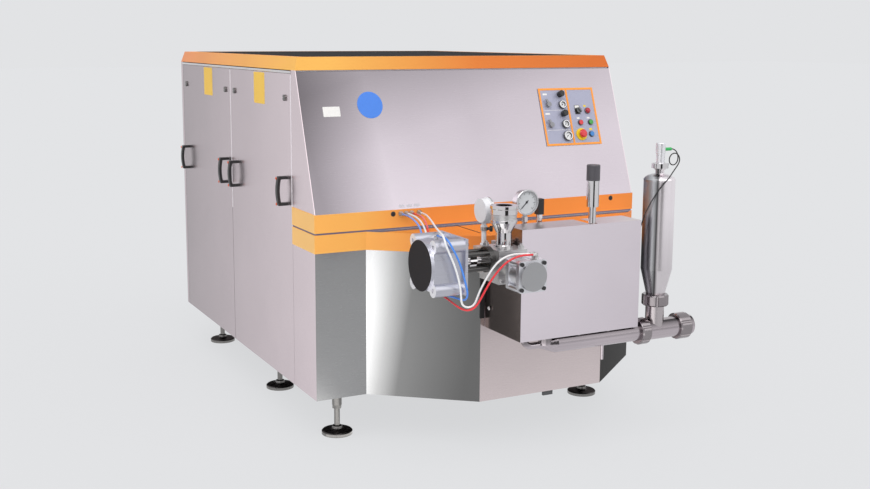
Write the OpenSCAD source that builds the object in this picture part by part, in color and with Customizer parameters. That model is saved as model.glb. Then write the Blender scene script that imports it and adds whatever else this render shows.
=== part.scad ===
// High-pressure dairy homogenizer: a steel cabinet with a belt-driven
// three-plunger pump, its homogenizing valve group, suction line and controls.
// Right-hand side seen from the front is +X, the back is +Y, the floor is z = 0.

/* [Cabinet] */
// Width of the cabinet
cab_w = 1650; // [1600:5:1700]
// Depth of the cabinet behind its front plane
cab_d = 2063; // [2000:1:2150]
// Height of the skirt's lower edge above the floor
skirt_z = 215; // [190:5:235]
// Height of the skirt below the lower band
skirt_h = 649; // [630:1:670]
// Height of each waist band
band_h = 79; // [60:1:90]
// Shadow gap between the two waist bands
band_gap = 8; // [4:1:12]
// How far the bands stand proud of the sheets
band_t = 3; // [2:0.5:5]
// How far the bands run back along each side
band_wrap = 266; // [200:1:266]
// Upright height of the leaning front panel
slant_h = 600; // [560:5:640]
// How far the leaning front panel goes back
slant_back = 214; // [180:1:240]
// Height of the roof trim
roof_h = 57; // [40:1:70]
// How far the roof trim slopes inwards
roof_inset = 18; // [10:1:30]
// Width of the trim on the flat of the roof
roof_rim = 46; // [36:1:60]
// Thickness of the cabinet sheets
sheet = 3; // [2:0.5:4]
// Dark groove under the roof trim
roof_gap = 6; // [4:1:10]

/* [Front housing] */
// Left end of the front housing's slanted face, from the cabinet's left side
prow_a = 236; // [200:1:260]
// Left end of its flat face, from the cabinet's left side
prow_b = 632; // [600:1:640]
// Right end of its flat face, from the cabinet's left side
prow_c = 1264; // [1250:1:1300]
// How far its flat face stands in front of the cabinet
prow_out = 312; // [290:1:330]

/* [Access panels] */
// Depth of the fixed left corner sheet
corner_d = 266; // [266:1:300]
// Depth of the front lift-off panel
front_panel_d = 876; // [800:1:900]
// Depth of the rear panel's fold on the left side
rear_fold = 35; // [30:1:45]
// Top of the lift-off panels, below the roof trim
panel_drop = 16; // [10:1:30]
// Depth of the folded rim of a panel
panel_rim = 25; // [15:1:28]
// Clearance round a panel
panel_gap = 1.5; // [0.5:0.5:3]
// Height of the handles' centres
handle_z = 1091; // [1050:1:1130]
// Length of a handle
handle_len = 132; // [110:1:150]
// How far a handle stands out
handle_out = 42; // [36:1:50]
// Thickness of a handle's grip and posts
handle_t = 13; // [10:1:14]
// Width of a handle
handle_w = 24; // [18:1:30]
// Distance of handles from their panel's upright edges
handle_in = 92; // [80:1:110]
// Height of the quarter-turn locks
lock_z = 1507; // [1450:1:1530]
// Distance of the locks from their panel's upright edges
lock_in = 76; // [60:1:90]
// Radius of a lock's stud
lock_r = 8; // [6:0.5:10]
// Radius of a lock's head
lock_head_r = 14; // [11:0.5:18]

/* [Frame and feet] */
// Thickness of the base deck
deck_t = 20; // [16:1:25]
// Width of an upright's face
post_w = 120; // [110:1:140]
// Depth of an upright
post_d = 40; // [30:1:50]
// Inset of the feet from the cabinet's sides
foot_in = 157; // [140:1:170]
// Depths of the three rows of feet behind the front plane
foot_rows = [150, 905, 1895]; // [140:1:1920]
// Radius of a foot's pad
foot_r = 70; // [55:1:80]
// Radius of a foot's spindle
spindle_r = 13; // [10:0.5:16]
// Radius of a foot's sleeve
sleeve_r = 22; // [18:1:28]

/* [Control plate] */
// Width of the control plate
plate_w = 313; // [300:1:330]
// Height of the control plate along the slope
plate_h = 283; // [275:1:300]
// Left edge of the control plate, from the cabinet's right side
plate_in = 439; // [420:1:460]
// Lower edge of the control plate, along the slope
plate_u = 250; // [220:1:280]
// Thickness of the control plate
plate_t = 3; // [2:0.5:4]
// Width of the plate's raised border
border_w = 10; // [8:1:14]
// Radius of a push-button's cap
button_r = 11; // [9:0.5:12]
// Travel of a push-button
button_travel = 4; // [2:0.5:5]
// Radius of the emergency stop's mushroom
mushroom_r = 20; // [18:0.5:22]
// Radius of the emergency stop's backing disc
stop_disc_r = 30; // [26:0.5:32]
// Radius of a regulator knob
knob_r = 15; // [12:0.5:17]
// Clearance of a shaft that turns in its hole
run_gap = 0.05; // [0.03:0.01:0.1]
// Clearance of a part that slides or stands free
free_gap = 0.3; // [0.2:0.1:0.5]

/* [Drive] */
// Height of the crankshaft
crank_z = 760; // [740:1:780]
// Depth of the crankshaft behind the front plane
crank_y = 330; // [310:1:350]
// Height of the motor shaft
motor_z = 470; // [450:1:490]
// Depth of the motor shaft behind the front plane
motor_y = 1440; // [1400:1:1480]
// Radius of the motor's frame
motor_r = 190; // [170:1:200]
// Pitch radius of the motor's pulley
small_pulley_r = 112; // [105:1:120]
// Pitch radius of the crankshaft's pulley
large_pulley_r = 300; // [280:1:310]
// Number of drive belts
belt_n = 5; // [3:1:5]
// Spacing of the drive belts
belt_pitch = 25; // [24:0.5:27]
// Width of a drive belt
belt_w = 17; // [15:0.5:18]
// Thickness of a drive belt
belt_t = 13; // [11:0.5:14]
// Radius of the driving shafts
shaft_r = 35; // [30:1:40]

/* [Pump] */
// Spacing of the plungers
plunger_pitch = 150; // [145:1:155]
// Radius of a plunger
plunger_r = 24; // [20:0.5:28]
// Length of a plunger, in front of its crosshead
plunger_l = 520; // [500:1:530]
// Radius of a crosshead
crosshead_r = 45; // [40:0.5:50]
// Stroke of a plunger
stroke = 80; // [60:1:90]
// Middle of the pump head, from the cabinet's left side
pump_x = 948; // [945:1:950]
// Height of the plungers
plunger_z = 780; // [775:1:785]
// Width of the pump head
head_w = 552; // [540:1:560]
// Height of the pump head
head_h = 290; // [280:1:300]
// Lower face of the pump head
head_z = 615; // [610:1:620]
// Front face of the pump head, in front of the cabinet
head_front = 590; // [580:1:592]
// Thickness of the dark flange between housing and pump head
flange_t = 28; // [20:1:40]

/* [Head cover] */
// Width of the head cover
cover_w = 591; // [580:1:600]
// Height of the head cover
cover_h = 464; // [450:1:470]
// Lower edge of the head cover
cover_z = 548; // [545:1:555]
// Front face of the head cover, in front of the cabinet
cover_front = 600; // [600:1:610]
// Depth of its top flange
cover_top_d = 138; // [120:1:150]
// Thickness of the cover's sheet
cover_t = 2.5; // [2:0.5:3]

/* [Valve group] */
// Middle of the valve block, from the cabinet's left side
valve_x = 580; // [575:1:580]
// Middle of the valve block, in front of the cabinet
valve_y = 576; // [570:1:580]
// Width of the valve block
block_w = 130; // [120:1:130]
// Depth of the valve block
block_d = 150; // [140:1:160]
// Lower face of the valve block
block_z = 812; // [805:1:815]
// Height of the valve block
block_h = 134; // [125:1:140]
// Height of the main valve's axis
main_z = 903; // [895:1:905]
// Radius of the main valve's rod
rod_r = 14; // [12:0.5:16]
// Opening travel of the main valve's rod
rod_travel = 8; // [4:0.5:10]
// Length of the main actuator's yoke
yoke_l = 158; // [150:1:165]
// Length of the main actuator's barrel
barrel_l = 127; // [120:1:140]
// Half the spacing of the main actuator's tie rods
tie_half = 84; // [80:1:88]
// Radius of the barrel's corner tubes
tie_r = 27; // [24:0.5:29]
// Radius of the main actuator's round end cover
end_disc_r = 100; // [90:1:104]
// Height of the second actuator's axis
second_z = 868; // [865:1:872]
// Width of the second actuator
second_w = 126; // [120:1:130]
// Front face of the second actuator, in front of the cabinet
second_front = 808; // [800:1:815]
// Bore radius of the outlet
outlet_r = 33; // [30:0.5:35]
// Height of the outlet's upper face
outlet_z = 1115; // [1105:1:1125]

/* [Gauges and sensors] */
// Radius of a large gauge's bezel
gauge_r = 54; // [50:0.5:56]
// Depth of a large gauge
gauge_d = 46; // [40:1:50]
// Height of the front-facing gauge's middle
gauge_1_z = 1099; // [1090:1:1110]
// Height of the side-facing gauge's middle
gauge_2_z = 1080; // [1075:1:1090]
// Radius of a gauge's stem
stem_r = 10; // [8:0.5:11]

/* [Suction line] */
// Height of the suction line
suction_z = 515; // [512:1:518]
// The suction line's axis, in front of the cabinet
suction_y = 560; // [556:1:564]
// Outside radius of the suction pipe
pipe_r = 40; // [38:0.5:41]
// Outside radius of the tee
tee_r = 44.5; // [44:0.5:46]
// Bore radius of the inlet
inlet_r = 40.5; // [40:0.5:41]
// Depth of the inlet's bore
inlet_l = 120; // [100:1:120]
// Height of the dampener's tank with its cone
tank_h = 542; // [520:1:560]
// The dampener's axis, from the cabinet's left side
tank_x = 1364; // [1360:1:1370]
// Radius of the dampener's tank
tank_r = 67; // [64:0.5:69]
// End of the inlet, from the cabinet's left side
inlet_x = 1556; // [1550:1:1565]
// Outside radius of a union nut
nut_r = 58; // [56:0.5:60]

/* [Hidden] */
$fn = 64;

// Heights of the cabinet's levels
z_band = skirt_z + skirt_h;
z_shelf = z_band + band_h;
z_upper = z_shelf + band_gap;
z_slant = z_upper + band_h;
z_roof = z_slant + slant_h;
z_top = z_roof + roof_h;
z_deck = skirt_z + 4;
z_floor = z_deck + deck_t;
tilt = atan(slant_back / slant_h);
half_w = cab_w / 2;

// Everything is shifted so that the origin is under the middle of the machine
x_shift = (handle_out - band_t) / 2;
y_shift = (second_front - cab_d) / 2;

// Places along X, worked out from the cabinet's left side
prow_ax = prow_a - half_w;
prow_bx = prow_b - half_w;
prow_cx = prow_c - half_w;
pump_cx = pump_x - half_w;
valve_cx = valve_x - half_w;
tank_cx = tank_x - half_w;
inlet_end = inlet_x - half_w;
plate_lx = half_w - plate_in;
head_left = pump_cx - head_w / 2;
head_top = head_z + head_h;
head_back = -prow_out - flange_t;
// The pump valves' caps stand in a row on the head
valve_row = head_front - 90;
cover_left = pump_cx - cover_w / 2;
cover_right = cover_left + cover_w;
cover_top = cover_z + cover_h;
block_left = valve_cx - block_w / 2;
block_top = block_z + block_h;
block_front = -valve_y - block_d / 2;
panel_top = z_roof - panel_drop;
panel_d = [front_panel_d, cab_d - rear_fold - corner_d - front_panel_d];
panel_front = [corner_d, corner_d + panel_d[0]];
panel_end = panel_front[1] + panel_d[1];
sheet_x = -half_w + sheet;

// Outlines of the cabinet seen from above, anticlockwise
prow = [[prow_ax, 0], [prow_bx, -prow_out], [prow_cx, -prow_out], [half_w, 0]];
skirt = concat([[-half_w, 30], [-half_w, 0]], prow, [[half_w, 30]]);
lower_path = concat([[-half_w, band_wrap], [-half_w, 0]], prow, [[half_w, band_wrap]]);
upper_path = [[-half_w, band_wrap], [-half_w, 0], [half_w, 0], [half_w, band_wrap]];
footprint = concat([[-half_w, cab_d], [-half_w, 0]], prow, [[half_w, cab_d]]);

// Left normal of an edge, and the outline moved inwards by t
function edge_normal(a, b) = [a[1] - b[1], b[0] - a[0]] / norm(b - a);
function inset(p, t) = [for (i = [0 : len(p) - 1])
    let (a = p[(i + len(p) - 1) % len(p)], b = p[i], c = p[(i + 1) % len(p)],
         n = edge_normal(a, b), m = edge_normal(b, c))
    b + t * (n + m) / (1 + n * m)];

module place() translate([x_shift, y_shift, 0]) children();

// Local frame of the leaning panel: X right, Y up the slope, Z outwards
module on_slant() translate([0, 0, z_slant]) rotate([90 - tilt, 0, 0]) children();
// A point of the control plate: s from its left edge, t from its top edge
module on_plate(s, t) on_slant()
    translate([plate_lx + s * plate_w, plate_u + (1 - t) * plate_h, plate_t]) children();

// Places of the controls on the plate, as shares of its width and height
knob_at = [[0.37, 0.115], [0.38, 0.455]];
lever_at = [[0.134, 0.29], [0.126, 0.645]];
dial_at = [[0.386, 0.295], [0.39, 0.635], [0.392, 0.84]];
dial_r = [20, 20, 24];
selector_at = [0.673, 0.40];
lamp_at = [0.836, 0.41];
stop_at = [0.673, 0.615];
start_at = [0.858, 0.615];
mushroom_at = [0.655, 0.82];
reset_at = [0.84, 0.82];
push_at = [stop_at, start_at, reset_at, mushroom_at];
turn_at = concat(knob_at, lever_at, [selector_at]);
turn_r = 6;
// Film of glue under the control plate
glue = 0.02;

module base_frame() place() color("dimgray") {
    translate([0, 0, z_deck]) linear_extrude(deck_t) polygon(inset(footprint, sheet));
    // lifting lug under the front edge
    translate([pump_cx + 20, -prow_out + 14, z_deck - 28]) cube([50, 10, 38]);
    for (y = [corner_d + panel_rim, cab_d - sheet - post_w])
        left_post(y, post_w);
    left_post(panel_front[1] - post_w - panel_rim, 2 * (post_w + panel_rim));
    for (y = [corner_d + panel_rim, cab_d - sheet - post_w])
        translate([half_w - sheet - post_d, y, z_floor])
            cube([post_d, post_w, panel_top - z_floor]);
}
// An upright behind the access panels, with a socket for each lock's stud
module left_post(y, w) difference() {
    translate([sheet_x + panel_rim + free_gap, y, z_floor]) cube([post_d, w, panel_top - z_floor]);
    for (k = lock_y)
        translate([sheet_x, k, lock_z]) rotate([0, 90, 0])
            cylinder(r = lock_r + run_gap, h = panel_rim + post_d / 2);
}
lock_y = [panel_front[0] + lock_in, panel_front[1] - lock_in,
    panel_front[1] + lock_in, panel_end - lock_in];

module levelling_feet() place() color("gray")
    for (x = [foot_in - half_w, half_w - foot_in], y = foot_rows)
        translate([x, y, 0]) {
            rotate_extrude() polygon([[0, 0], [foot_r, 0], [foot_r, 13], [foot_r - 4, 17],
                [sleeve_r + 10, 21], [sleeve_r + 2, 26], [sleeve_r, 36], [spindle_r, 40],
                [spindle_r, z_deck - 84], [sleeve_r, z_deck - 84], [sleeve_r, z_deck], [0, z_deck]]);
            translate([0, 0, z_deck - 100]) cylinder(r = sleeve_r, h = 15, $fn = 6);
        }

module front_housing() place() color("silver") difference() {
    union() {
        translate([0, 0, skirt_z]) linear_extrude(skirt_h + band_h) difference() {
            polygon(skirt);
            polygon(inset(skirt, sheet));
            translate([sheet_x, 10]) square([cab_w - 2 * sheet, 40]);
        }
        translate([0, 0, z_shelf - sheet]) linear_extrude(sheet)
            polygon(concat(prow, [[half_w, 10], [prow_ax, 10]]));
    }
    translate([pump_cx - nose_w / 2 - 4, -prow_out - 5, nose_z - 4])
        cube([nose_w + 8, 20, nose_h + 8]);
}
nose_w = 500;
nose_z = plunger_z - 165;
nose_h = z_band - 9 - nose_z;

// The leaning front panel, with the upright strip behind the upper band
module upper_front_panel() place() color("silver") difference() {
    translate([sheet_x, 0, 0]) rotate([90, 0, 90]) linear_extrude(cab_w - 2 * sheet)
        polygon([[0, z_shelf], [0, z_slant], [slant_back - roof_gap * tan(tilt), z_roof - roof_gap],
            [slant_back + 30, z_roof - roof_gap], [slant_back + 30, z_roof - roof_gap - sheet],
            [slant_back, z_roof - roof_gap - sheet], [sheet, z_slant - sheet], [sheet, z_shelf]]);
    control_holes();
    bulkhead_holes();
}
// Holes through the panel and the plate for every control's shaft
module control_holes() {
    for (p = push_at)
        on_plate(p[0], p[1]) translate([0, 0, -30]) cylinder(r = button_r + free_gap, h = 50);
    for (p = turn_at)
        on_plate(p[0], p[1]) translate([0, 0, -30]) cylinder(r = turn_r + run_gap, h = 50);
}

side_low = [[0, skirt_z], [corner_d, skirt_z], [corner_d, z_roof], [slant_back, z_roof], [0, z_slant]];
module left_corner_panel() place() color("silver") translate([-half_w, 0, 0])
    rotate([90, 0, 90]) linear_extrude(sheet) difference() {
        polygon(side_low);
        // room for the front housing's folded end
        translate([-1, skirt_z - 1]) square([31, skirt_h + band_h + 1]);
    }
module right_side_panel() place() color("silver") translate([half_w - sheet, 0, 0])
    rotate([90, 0, 90]) linear_extrude(sheet) difference() {
        polygon([[0, skirt_z], [cab_d, skirt_z], [cab_d, z_roof], [slant_back, z_roof], [0, z_slant]]);
        translate([-1, skirt_z - 1]) square([31, skirt_h + band_h + 1]);
    }
louvre_n = 12;
louvre_pitch = 40;
louvre_w = 420;
module rear_panel() place() color("silver") difference() {
    union() {
        translate([-half_w, cab_d - sheet, skirt_z]) cube([cab_w - sheet, sheet, z_roof - skirt_z]);
        translate([-half_w, panel_end + panel_gap, skirt_z])
            cube([sheet, rear_fold - panel_gap, z_roof - skirt_z]);
    }
    for (side = [-1, 1], k = [0 : louvre_n - 1])
        translate([side * cab_w / 4 - louvre_w / 2, cab_d - 20, skirt_z + 220 + k * louvre_pitch])
            cube([louvre_w, 40, 12]);
}

// A block whose four sides lean inwards towards its top
module frustum(x0, x1, y0, y1, z0, h, lean) intersection() {
    translate([0, y1 + 10, z0]) rotate([90, 0, 0]) linear_extrude(y1 - y0 + 20)
        polygon([[x0, 0], [x1, 0], [x1 - lean, h], [x0 + lean, h]]);
    translate([x0 - 10, 0, z0]) rotate([90, 0, 90]) linear_extrude(x1 - x0 + 20)
        polygon([[y0, 0], [y1, 0], [y1 - lean, h], [y0 + lean, h]]);
}
rim_in = roof_inset + roof_rim;
module roof_trim() place() color("darkorange") difference() {
    frustum(-half_w, half_w, slant_back, cab_d, z_roof, roof_h, roof_inset);
    frustum(-half_w + sheet, half_w - sheet, slant_back + sheet, cab_d - sheet, z_roof,
        roof_h - sheet, roof_inset * (1 - sheet / roof_h));
    translate([-half_w + rim_in, slant_back + rim_in, z_roof - 1])
        cube([cab_w - 2 * rim_in, cab_d - slant_back - 2 * rim_in, roof_h + 2]);
}
// The roof's middle: a tray folded down all round
roof_in = rim_in + free_gap;
roof_size = [cab_w - 2 * roof_in, cab_d - slant_back - 2 * roof_in];
tray_h = 40;
module roof_panel() place() color("dimgray")
    translate([-half_w + roof_in, slant_back + roof_in, z_top - tray_h]) difference() {
        cube([roof_size[0], roof_size[1], tray_h]);
        translate([sheet, sheet, -1])
            cube([roof_size[0] - 2 * sheet, roof_size[1] - 2 * sheet, tray_h - sheet + 1]);
    }

module band(path, z) translate([0, 0, z]) linear_extrude(band_h) intersection() {
    difference() {
        polygon(inset(path, -band_t));
        polygon(path);
    }
    translate([-cab_w, -2 * prow_out]) square([2 * cab_w, 2 * prow_out + band_wrap]);
}
module waist_bands() place() color("darkorange") difference() {
    union() {
        band(lower_path, z_band);
        band(upper_path, z_upper);
    }
    bulkhead_holes();
}
// Holes for the hoses' bulkhead unions
module bulkhead_holes() for (x = bulkhead_x)
    translate([x, 5, bulkhead_z]) rotate([90, 0, 0]) cylinder(r = bulkhead_r + free_gap, h = 20);

// A lift-off panel: a sheet with a folded rim, holes for its two locks
module access_panel(k) difference() {
    translate([-half_w, panel_front[k] + panel_gap, skirt_z]) difference() {
        cube([sheet + panel_rim, panel_d[k] - 2 * panel_gap, panel_top - skirt_z]);
        translate([sheet, sheet, -1])
            cube([panel_rim + 1, panel_d[k] - 2 * panel_gap - 2 * sheet, z_floor + 6 - skirt_z]);
        translate([sheet, sheet, z_floor + sheet - skirt_z])
            cube([panel_rim + 1, panel_d[k] - 2 * panel_gap - 2 * sheet,
                panel_top - z_floor - 2 * sheet]);
        translate([sheet, -1, -1]) cube([panel_rim + 1, panel_d[k], z_floor + 2 - skirt_z]);
    }
    for (y = lock_y)
        translate([-half_w - 1, y, lock_z]) rotate([0, 90, 0])
            cylinder(r = lock_r + run_gap, h = sheet + 2);
}
module front_access_panel() place() color("silver") access_panel(0);
module rear_access_panel() place() color("silver") access_panel(1);

// A bridge handle with a bowed grip, standing on its panel
module handle(y) translate([-half_w, y, handle_z]) rotate([90, 0, 0])
    translate([0, 0, -handle_w / 2]) linear_extrude(handle_w) difference() {
        intersection() {
            translate([-handle_out, -handle_len / 2]) square([handle_out, handle_len]);
            translate([handle_bow - handle_out, 0]) circle(r = handle_bow);
        }
        intersection() {
            translate([handle_t - handle_out, handle_t - handle_len / 2])
                square([handle_out, handle_len - 2 * handle_t]);
            translate([handle_bow - handle_out, 0]) circle(r = handle_bow - handle_t);
        }
    }
handle_bow = 260;
// The rear handle of each panel stands nearer to its edge
handle_step = 20;
module front_panel_handles() place() color("black") {
    handle(panel_front[0] + handle_in);
    handle(panel_front[1] - handle_in + handle_step);
}
module rear_panel_handles() place() color("black") {
    handle(panel_front[1] + handle_in);
    handle(panel_end - handle_in + handle_step);
}
// A quarter-turn lock: slotted head outside, stud into the upright's socket
module panel_lock(k) place() color("gray") translate([-half_w, lock_y[k], lock_z])
    rotate([0, 90, 0]) difference() {
        union() {
            translate([0, 0, -7]) cylinder(r = lock_head_r, h = 7);
            translate([0, 0, -7]) cylinder(r = lock_r, h = 7 + sheet + panel_rim + 12);
        }
        translate([-2, -lock_head_r, -8]) cube([4, 2 * lock_head_r, 4]);
    }
module panel_lock_1() panel_lock(0);
module panel_lock_2() panel_lock(1);
module panel_lock_3() panel_lock(2);
module panel_lock_4() panel_lock(3);

module control_plate() place() color("lightsteelblue") difference() {
    on_slant() translate([plate_lx, plate_u, 0]) difference() {
        translate([0, 0, glue]) cube([plate_w, plate_h, plate_t + 1 - glue]);
        for (half = [0, 1])
            translate([border_w + half * (plate_w - border_w) / 2, border_w, plate_t])
                cube([(plate_w - 3 * border_w) / 2, plate_h - 2 * border_w, 2]);
    }
    control_holes();
    for (p = dial_at)
        on_plate(p[0], p[1]) translate([0, 0, -plate_t - 1]) cylinder(r = 5, h = plate_t + 2);
}

// A dial gauge along Z: case behind, raised bezel in front, recessed dial
module gauge_body(r, d) rotate_extrude() polygon([[pin_r + run_gap, 4], [r - 5, 4], [r - 5, d - 12],
    [r, d - 10], [r, d - 2], [r - 2, d], [r - 6, d], [r - 6, d - dial_in], [pin_r + run_gap, d - dial_in]]);
// A pointer with its hub and a pin into the dial
module pointer(r, d) translate([0, 0, d - dial_in + free_gap]) {
    cylinder(r = 0.09 * r, h = 2);
    translate([0, 0, -5]) cylinder(r = pin_r, h = 5);
    rotate(135) translate([-0.03 * r, -0.2 * r, 0.5]) cube([0.06 * r, 0.94 * r - 6, 1]);
}
pin_r = 1.2;
dial_in = 9;
// Front-facing and side-facing gauges of the pump head and the valve
gauge_1 = [pump_cx - 186, -464];
gauge_2 = [valve_cx - 25, -462];
module at_gauge_1() translate([gauge_1[0], gauge_1[1], gauge_1_z]) rotate([90, 0, 0])
    translate([0, 0, -gauge_d]) children();
module at_gauge_2() translate([gauge_2[0] - gauge_d / 2, gauge_2[1], gauge_2_z]) rotate([90, 0, 90])
    children();
panel_dial_d = 18;
module pressure_gauges() place() color("gainsboro") {
    for (k = [0 : 2])
        on_plate(dial_at[k][0], dial_at[k][1]) translate([0, 0, -4]) gauge_body(dial_r[k], panel_dial_d);
    at_gauge_1() gauge_body(gauge_r, gauge_d);
    gauge_stem([gauge_1[0], gauge_1[1] + gauge_d / 2], head_top, gauge_1_z - gauge_r + 6);
    at_gauge_2() gauge_body(gauge_r, gauge_d);
    gauge_stem(gauge_2, adapter_top, gauge_2_z - gauge_r + 6);
}
// Hexagon and neck that carry a gauge
module gauge_stem(p, z0, z1) translate([p[0], p[1], z0]) {
    cylinder(r = stem_r, h = z1 - z0 + 4);
    translate([0, 0, z1 - z0 - 34]) cylinder(r = 1.5 * stem_r, h = 20, $fn = 6);
    cylinder(r = 1.7 * stem_r, h = 14, $fn = 6);
}
module panel_needle(k) place() color("black") on_plate(dial_at[k][0], dial_at[k][1])
    translate([0, 0, -4]) pointer(dial_r[k], panel_dial_d);
module panel_needle_1() panel_needle(0);
module panel_needle_2() panel_needle(1);
module panel_needle_3() panel_needle(2);
module head_needle_1() place() color("black") at_gauge_1() pointer(gauge_r, gauge_d);
module head_needle_2() place() color("black") at_gauge_2() pointer(gauge_r, gauge_d);

// A fluted regulator knob on its shaft
module regulator_knob(k) place() color("black") on_plate(knob_at[k][0], knob_at[k][1]) {
    translate([0, 0, -14]) cylinder(r = turn_r, h = 15);
    difference() {
        translate([0, 0, free_gap]) rotate_extrude()
            polygon([[0, 0], [knob_r - 2, 0], [knob_r - 2, 5], [knob_r, 7], [knob_r, 26], [knob_r - 3, 30],
                [0, 30]]);
        for (a = [0 : 30 : 330])
            rotate(a) translate([knob_r + 1.5, 0, 6]) cylinder(r = 2.5, h = 30);
    }
}
module regulator_knob_1() regulator_knob(0);
module regulator_knob_2() regulator_knob(1);
// A hand lever on a round valve spindle
module mode_lever(k) place() color("gray") on_plate(lever_at[k][0], lever_at[k][1]) {
    translate([0, 0, -14]) cylinder(r = turn_r, h = 15);
    translate([0, 0, free_gap]) cylinder(r = 12, h = 16);
    rotate(25) translate([-5, -6, 10]) cube([10, 34, 6]);
}
module mode_lever_1() mode_lever(0);
module mode_lever_2() mode_lever(1);
module selector_switch() place() color("dimgray") on_plate(selector_at[0], selector_at[1]) {
    translate([0, 0, -14]) cylinder(r = turn_r, h = 15);
    translate([0, 0, bezel_h + free_gap]) cylinder(r = 13, h = 6);
    cylinder(r = turn_r, h = bezel_h + 1);
    rotate(35) translate([-3, -12.5, bezel_h + 2]) cube([6, 25, 14]);
}
bezel_h = 5;
// A push-button's cap and plunger; the front stands proud of its bezel
module push_button(p, c) place() color(c) on_plate(p[0], p[1])
    translate([0, 0, -8]) cylinder(r = button_r, h = 8 + bezel_h + button_travel);
module stop_button() push_button(stop_at, "red");
module start_button() push_button(start_at, "green");
module reset_button() push_button(reset_at, "dodgerblue");
module emergency_stop() place() color("red") on_plate(mushroom_at[0], mushroom_at[1]) {
    translate([0, 0, -8]) cylinder(r = button_r, h = 10 + bezel_h + button_travel);
    translate([0, 0, bezel_h + button_travel + 2]) rotate_extrude()
        polygon([[0, 0], [mushroom_r - 4, 0], [mushroom_r, 5], [mushroom_r, 9], [mushroom_r - 5, 14],
            [0, 16]]);
}
module bezel(p, r) on_plate(p[0], p[1]) difference() {
    cylinder(r1 = r, r2 = r - 1, h = bezel_h);
    translate([0, 0, -1]) cylinder(r = button_r + free_gap, h = bezel_h + 2);
}
module button_bezels() place() color("lightgray") {
    for (p = [stop_at, start_at, reset_at])
        bezel(p, button_r + 4);
    bezel(mushroom_at, stop_disc_r);
    on_plate(selector_at[0], selector_at[1]) difference() {
        cylinder(r = 15, h = bezel_h);
        translate([0, 0, -1]) cylinder(r = turn_r + run_gap, h = bezel_h + 2);
    }
    // the pilot lamp has a domed lens
    on_plate(lamp_at[0], lamp_at[1]) rotate_extrude()
        polygon([[0, 0], [15, 0], [15, 5], [12, 6], [12, 11], [8, 15], [0, 16]]);
}

// Cast power end: rounded crank chamber, crosshead guides and front nose
case_w = 720;
case_back = 700;
boss_l = 60;
chamber_r = 330;
module crankcase() place() color("slategray") difference() {
    union() {
        translate([pump_cx - case_w / 2, -prow_out + sheet + 60, z_floor])
            cube([case_w, case_back + prow_out - sheet - 60, crank_z - z_floor - 60]);
        translate([pump_cx - case_w / 2, crank_y, crank_z - 130]) rotate([0, 90, 0])
            cylinder(r = chamber_r - 20, h = case_w);
        translate([pump_cx - nose_w / 2, head_back, nose_z])
            cube([nose_w, 130 + flange_t + 20, nose_h]);
        for (k = [0 : 5])
            translate([pump_cx - case_w / 2 + 20 + k * (case_w - 60) / 5, case_back - 10, z_floor])
                cube([20, 40, 300]);
        // bearing housing that carries the driven pulley's shaft
        translate([pump_cx - case_w / 2 - boss_l, crank_y, crank_z]) rotate([0, 90, 0])
            cylinder(r = 95, h = boss_l + 30);
    }
    for (k = [-1 : 1])
        translate([pump_cx + k * plunger_pitch, 160, plunger_z]) rotate([90, 0, 0])
            cylinder(r = crosshead_r + run_gap, h = 160 - head_back + 1);
    translate([pump_cx - case_w / 2 - boss_l - 1, crank_y, crank_z]) rotate([0, 90, 0])
        cylinder(r = shaft_r + run_gap, h = boss_l + 121);
}
motor_l = 620;
motor_x = 345 - half_w;
module main_motor() place() color("steelblue") difference() {
    union() {
        translate([motor_x, motor_y, motor_z]) rotate([0, 90, 0]) {
            cylinder(r = motor_r - 14, h = motor_l);
            for (z = [0, motor_l - 40])
                translate([0, 0, z]) cylinder(r = motor_r, h = 40);
            translate([0, 0, motor_l]) cylinder(r = motor_r - 30, h = 90);
            for (k = [0 : 11])
                rotate(k * 30) translate([-4, motor_r - 20, 40]) cube([8, 18, motor_l - 80]);
        }
        for (x = [motor_x + 60, motor_x + motor_l - 160])
            translate([x, motor_y - 170, z_floor]) cube([100, 340, motor_z - z_floor - 60]);
        translate([motor_x + 200, motor_y - 90, motor_z + motor_r - 30]) cube([180, 180, 90]);
    }
    translate([motor_x - 1, motor_y, motor_z]) rotate([0, 90, 0]) cylinder(r = shaft_r + run_gap, h = 121);
}

// Belt drive on the cabinet's left side, behind the access panels
belt_x = 135 - half_w;
pulley_w = belt_n * belt_pitch + 15;
// Grooved rim: the belts lie in V grooves
module pulley(r) rotate([0, 90, 0]) rotate_extrude() polygon(concat(
    [[0, 0], [r + 6, 0]],
    [for (k = [0 : belt_n - 1], p = [[-0.5, 6], [-0.34, -belt_t - 3], [0.34, -belt_t - 3], [0.5, 6]])
        [r + p[1], pulley_w / 2 + (k - (belt_n - 1) / 2 + p[0]) * (belt_pitch - 1)
            + (k - (belt_n - 1) / 2)]],
    [[r + 6, pulley_w], [0, pulley_w]]));
module motor_pulley() place() color("dimgray") translate([belt_x, motor_y, motor_z]) {
    pulley(small_pulley_r);
    rotate([0, 90, 0]) cylinder(r = shaft_r, h = motor_x - belt_x + 100);
}
module driven_pulley() place() color("dimgray") translate([belt_x, crank_y, crank_z]) {
    difference() {
        pulley(large_pulley_r);
        for (a = [0 : 72 : 288])
            rotate([a, 0, 0]) translate([-1, 0, 170]) rotate([0, 90, 0]) cylinder(r = 58, h = pulley_w + 2);
    }
    rotate([0, 90, 0]) cylinder(r = shaft_r, h = pump_cx - case_w / 2 + 100 - belt_x);
}
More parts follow.
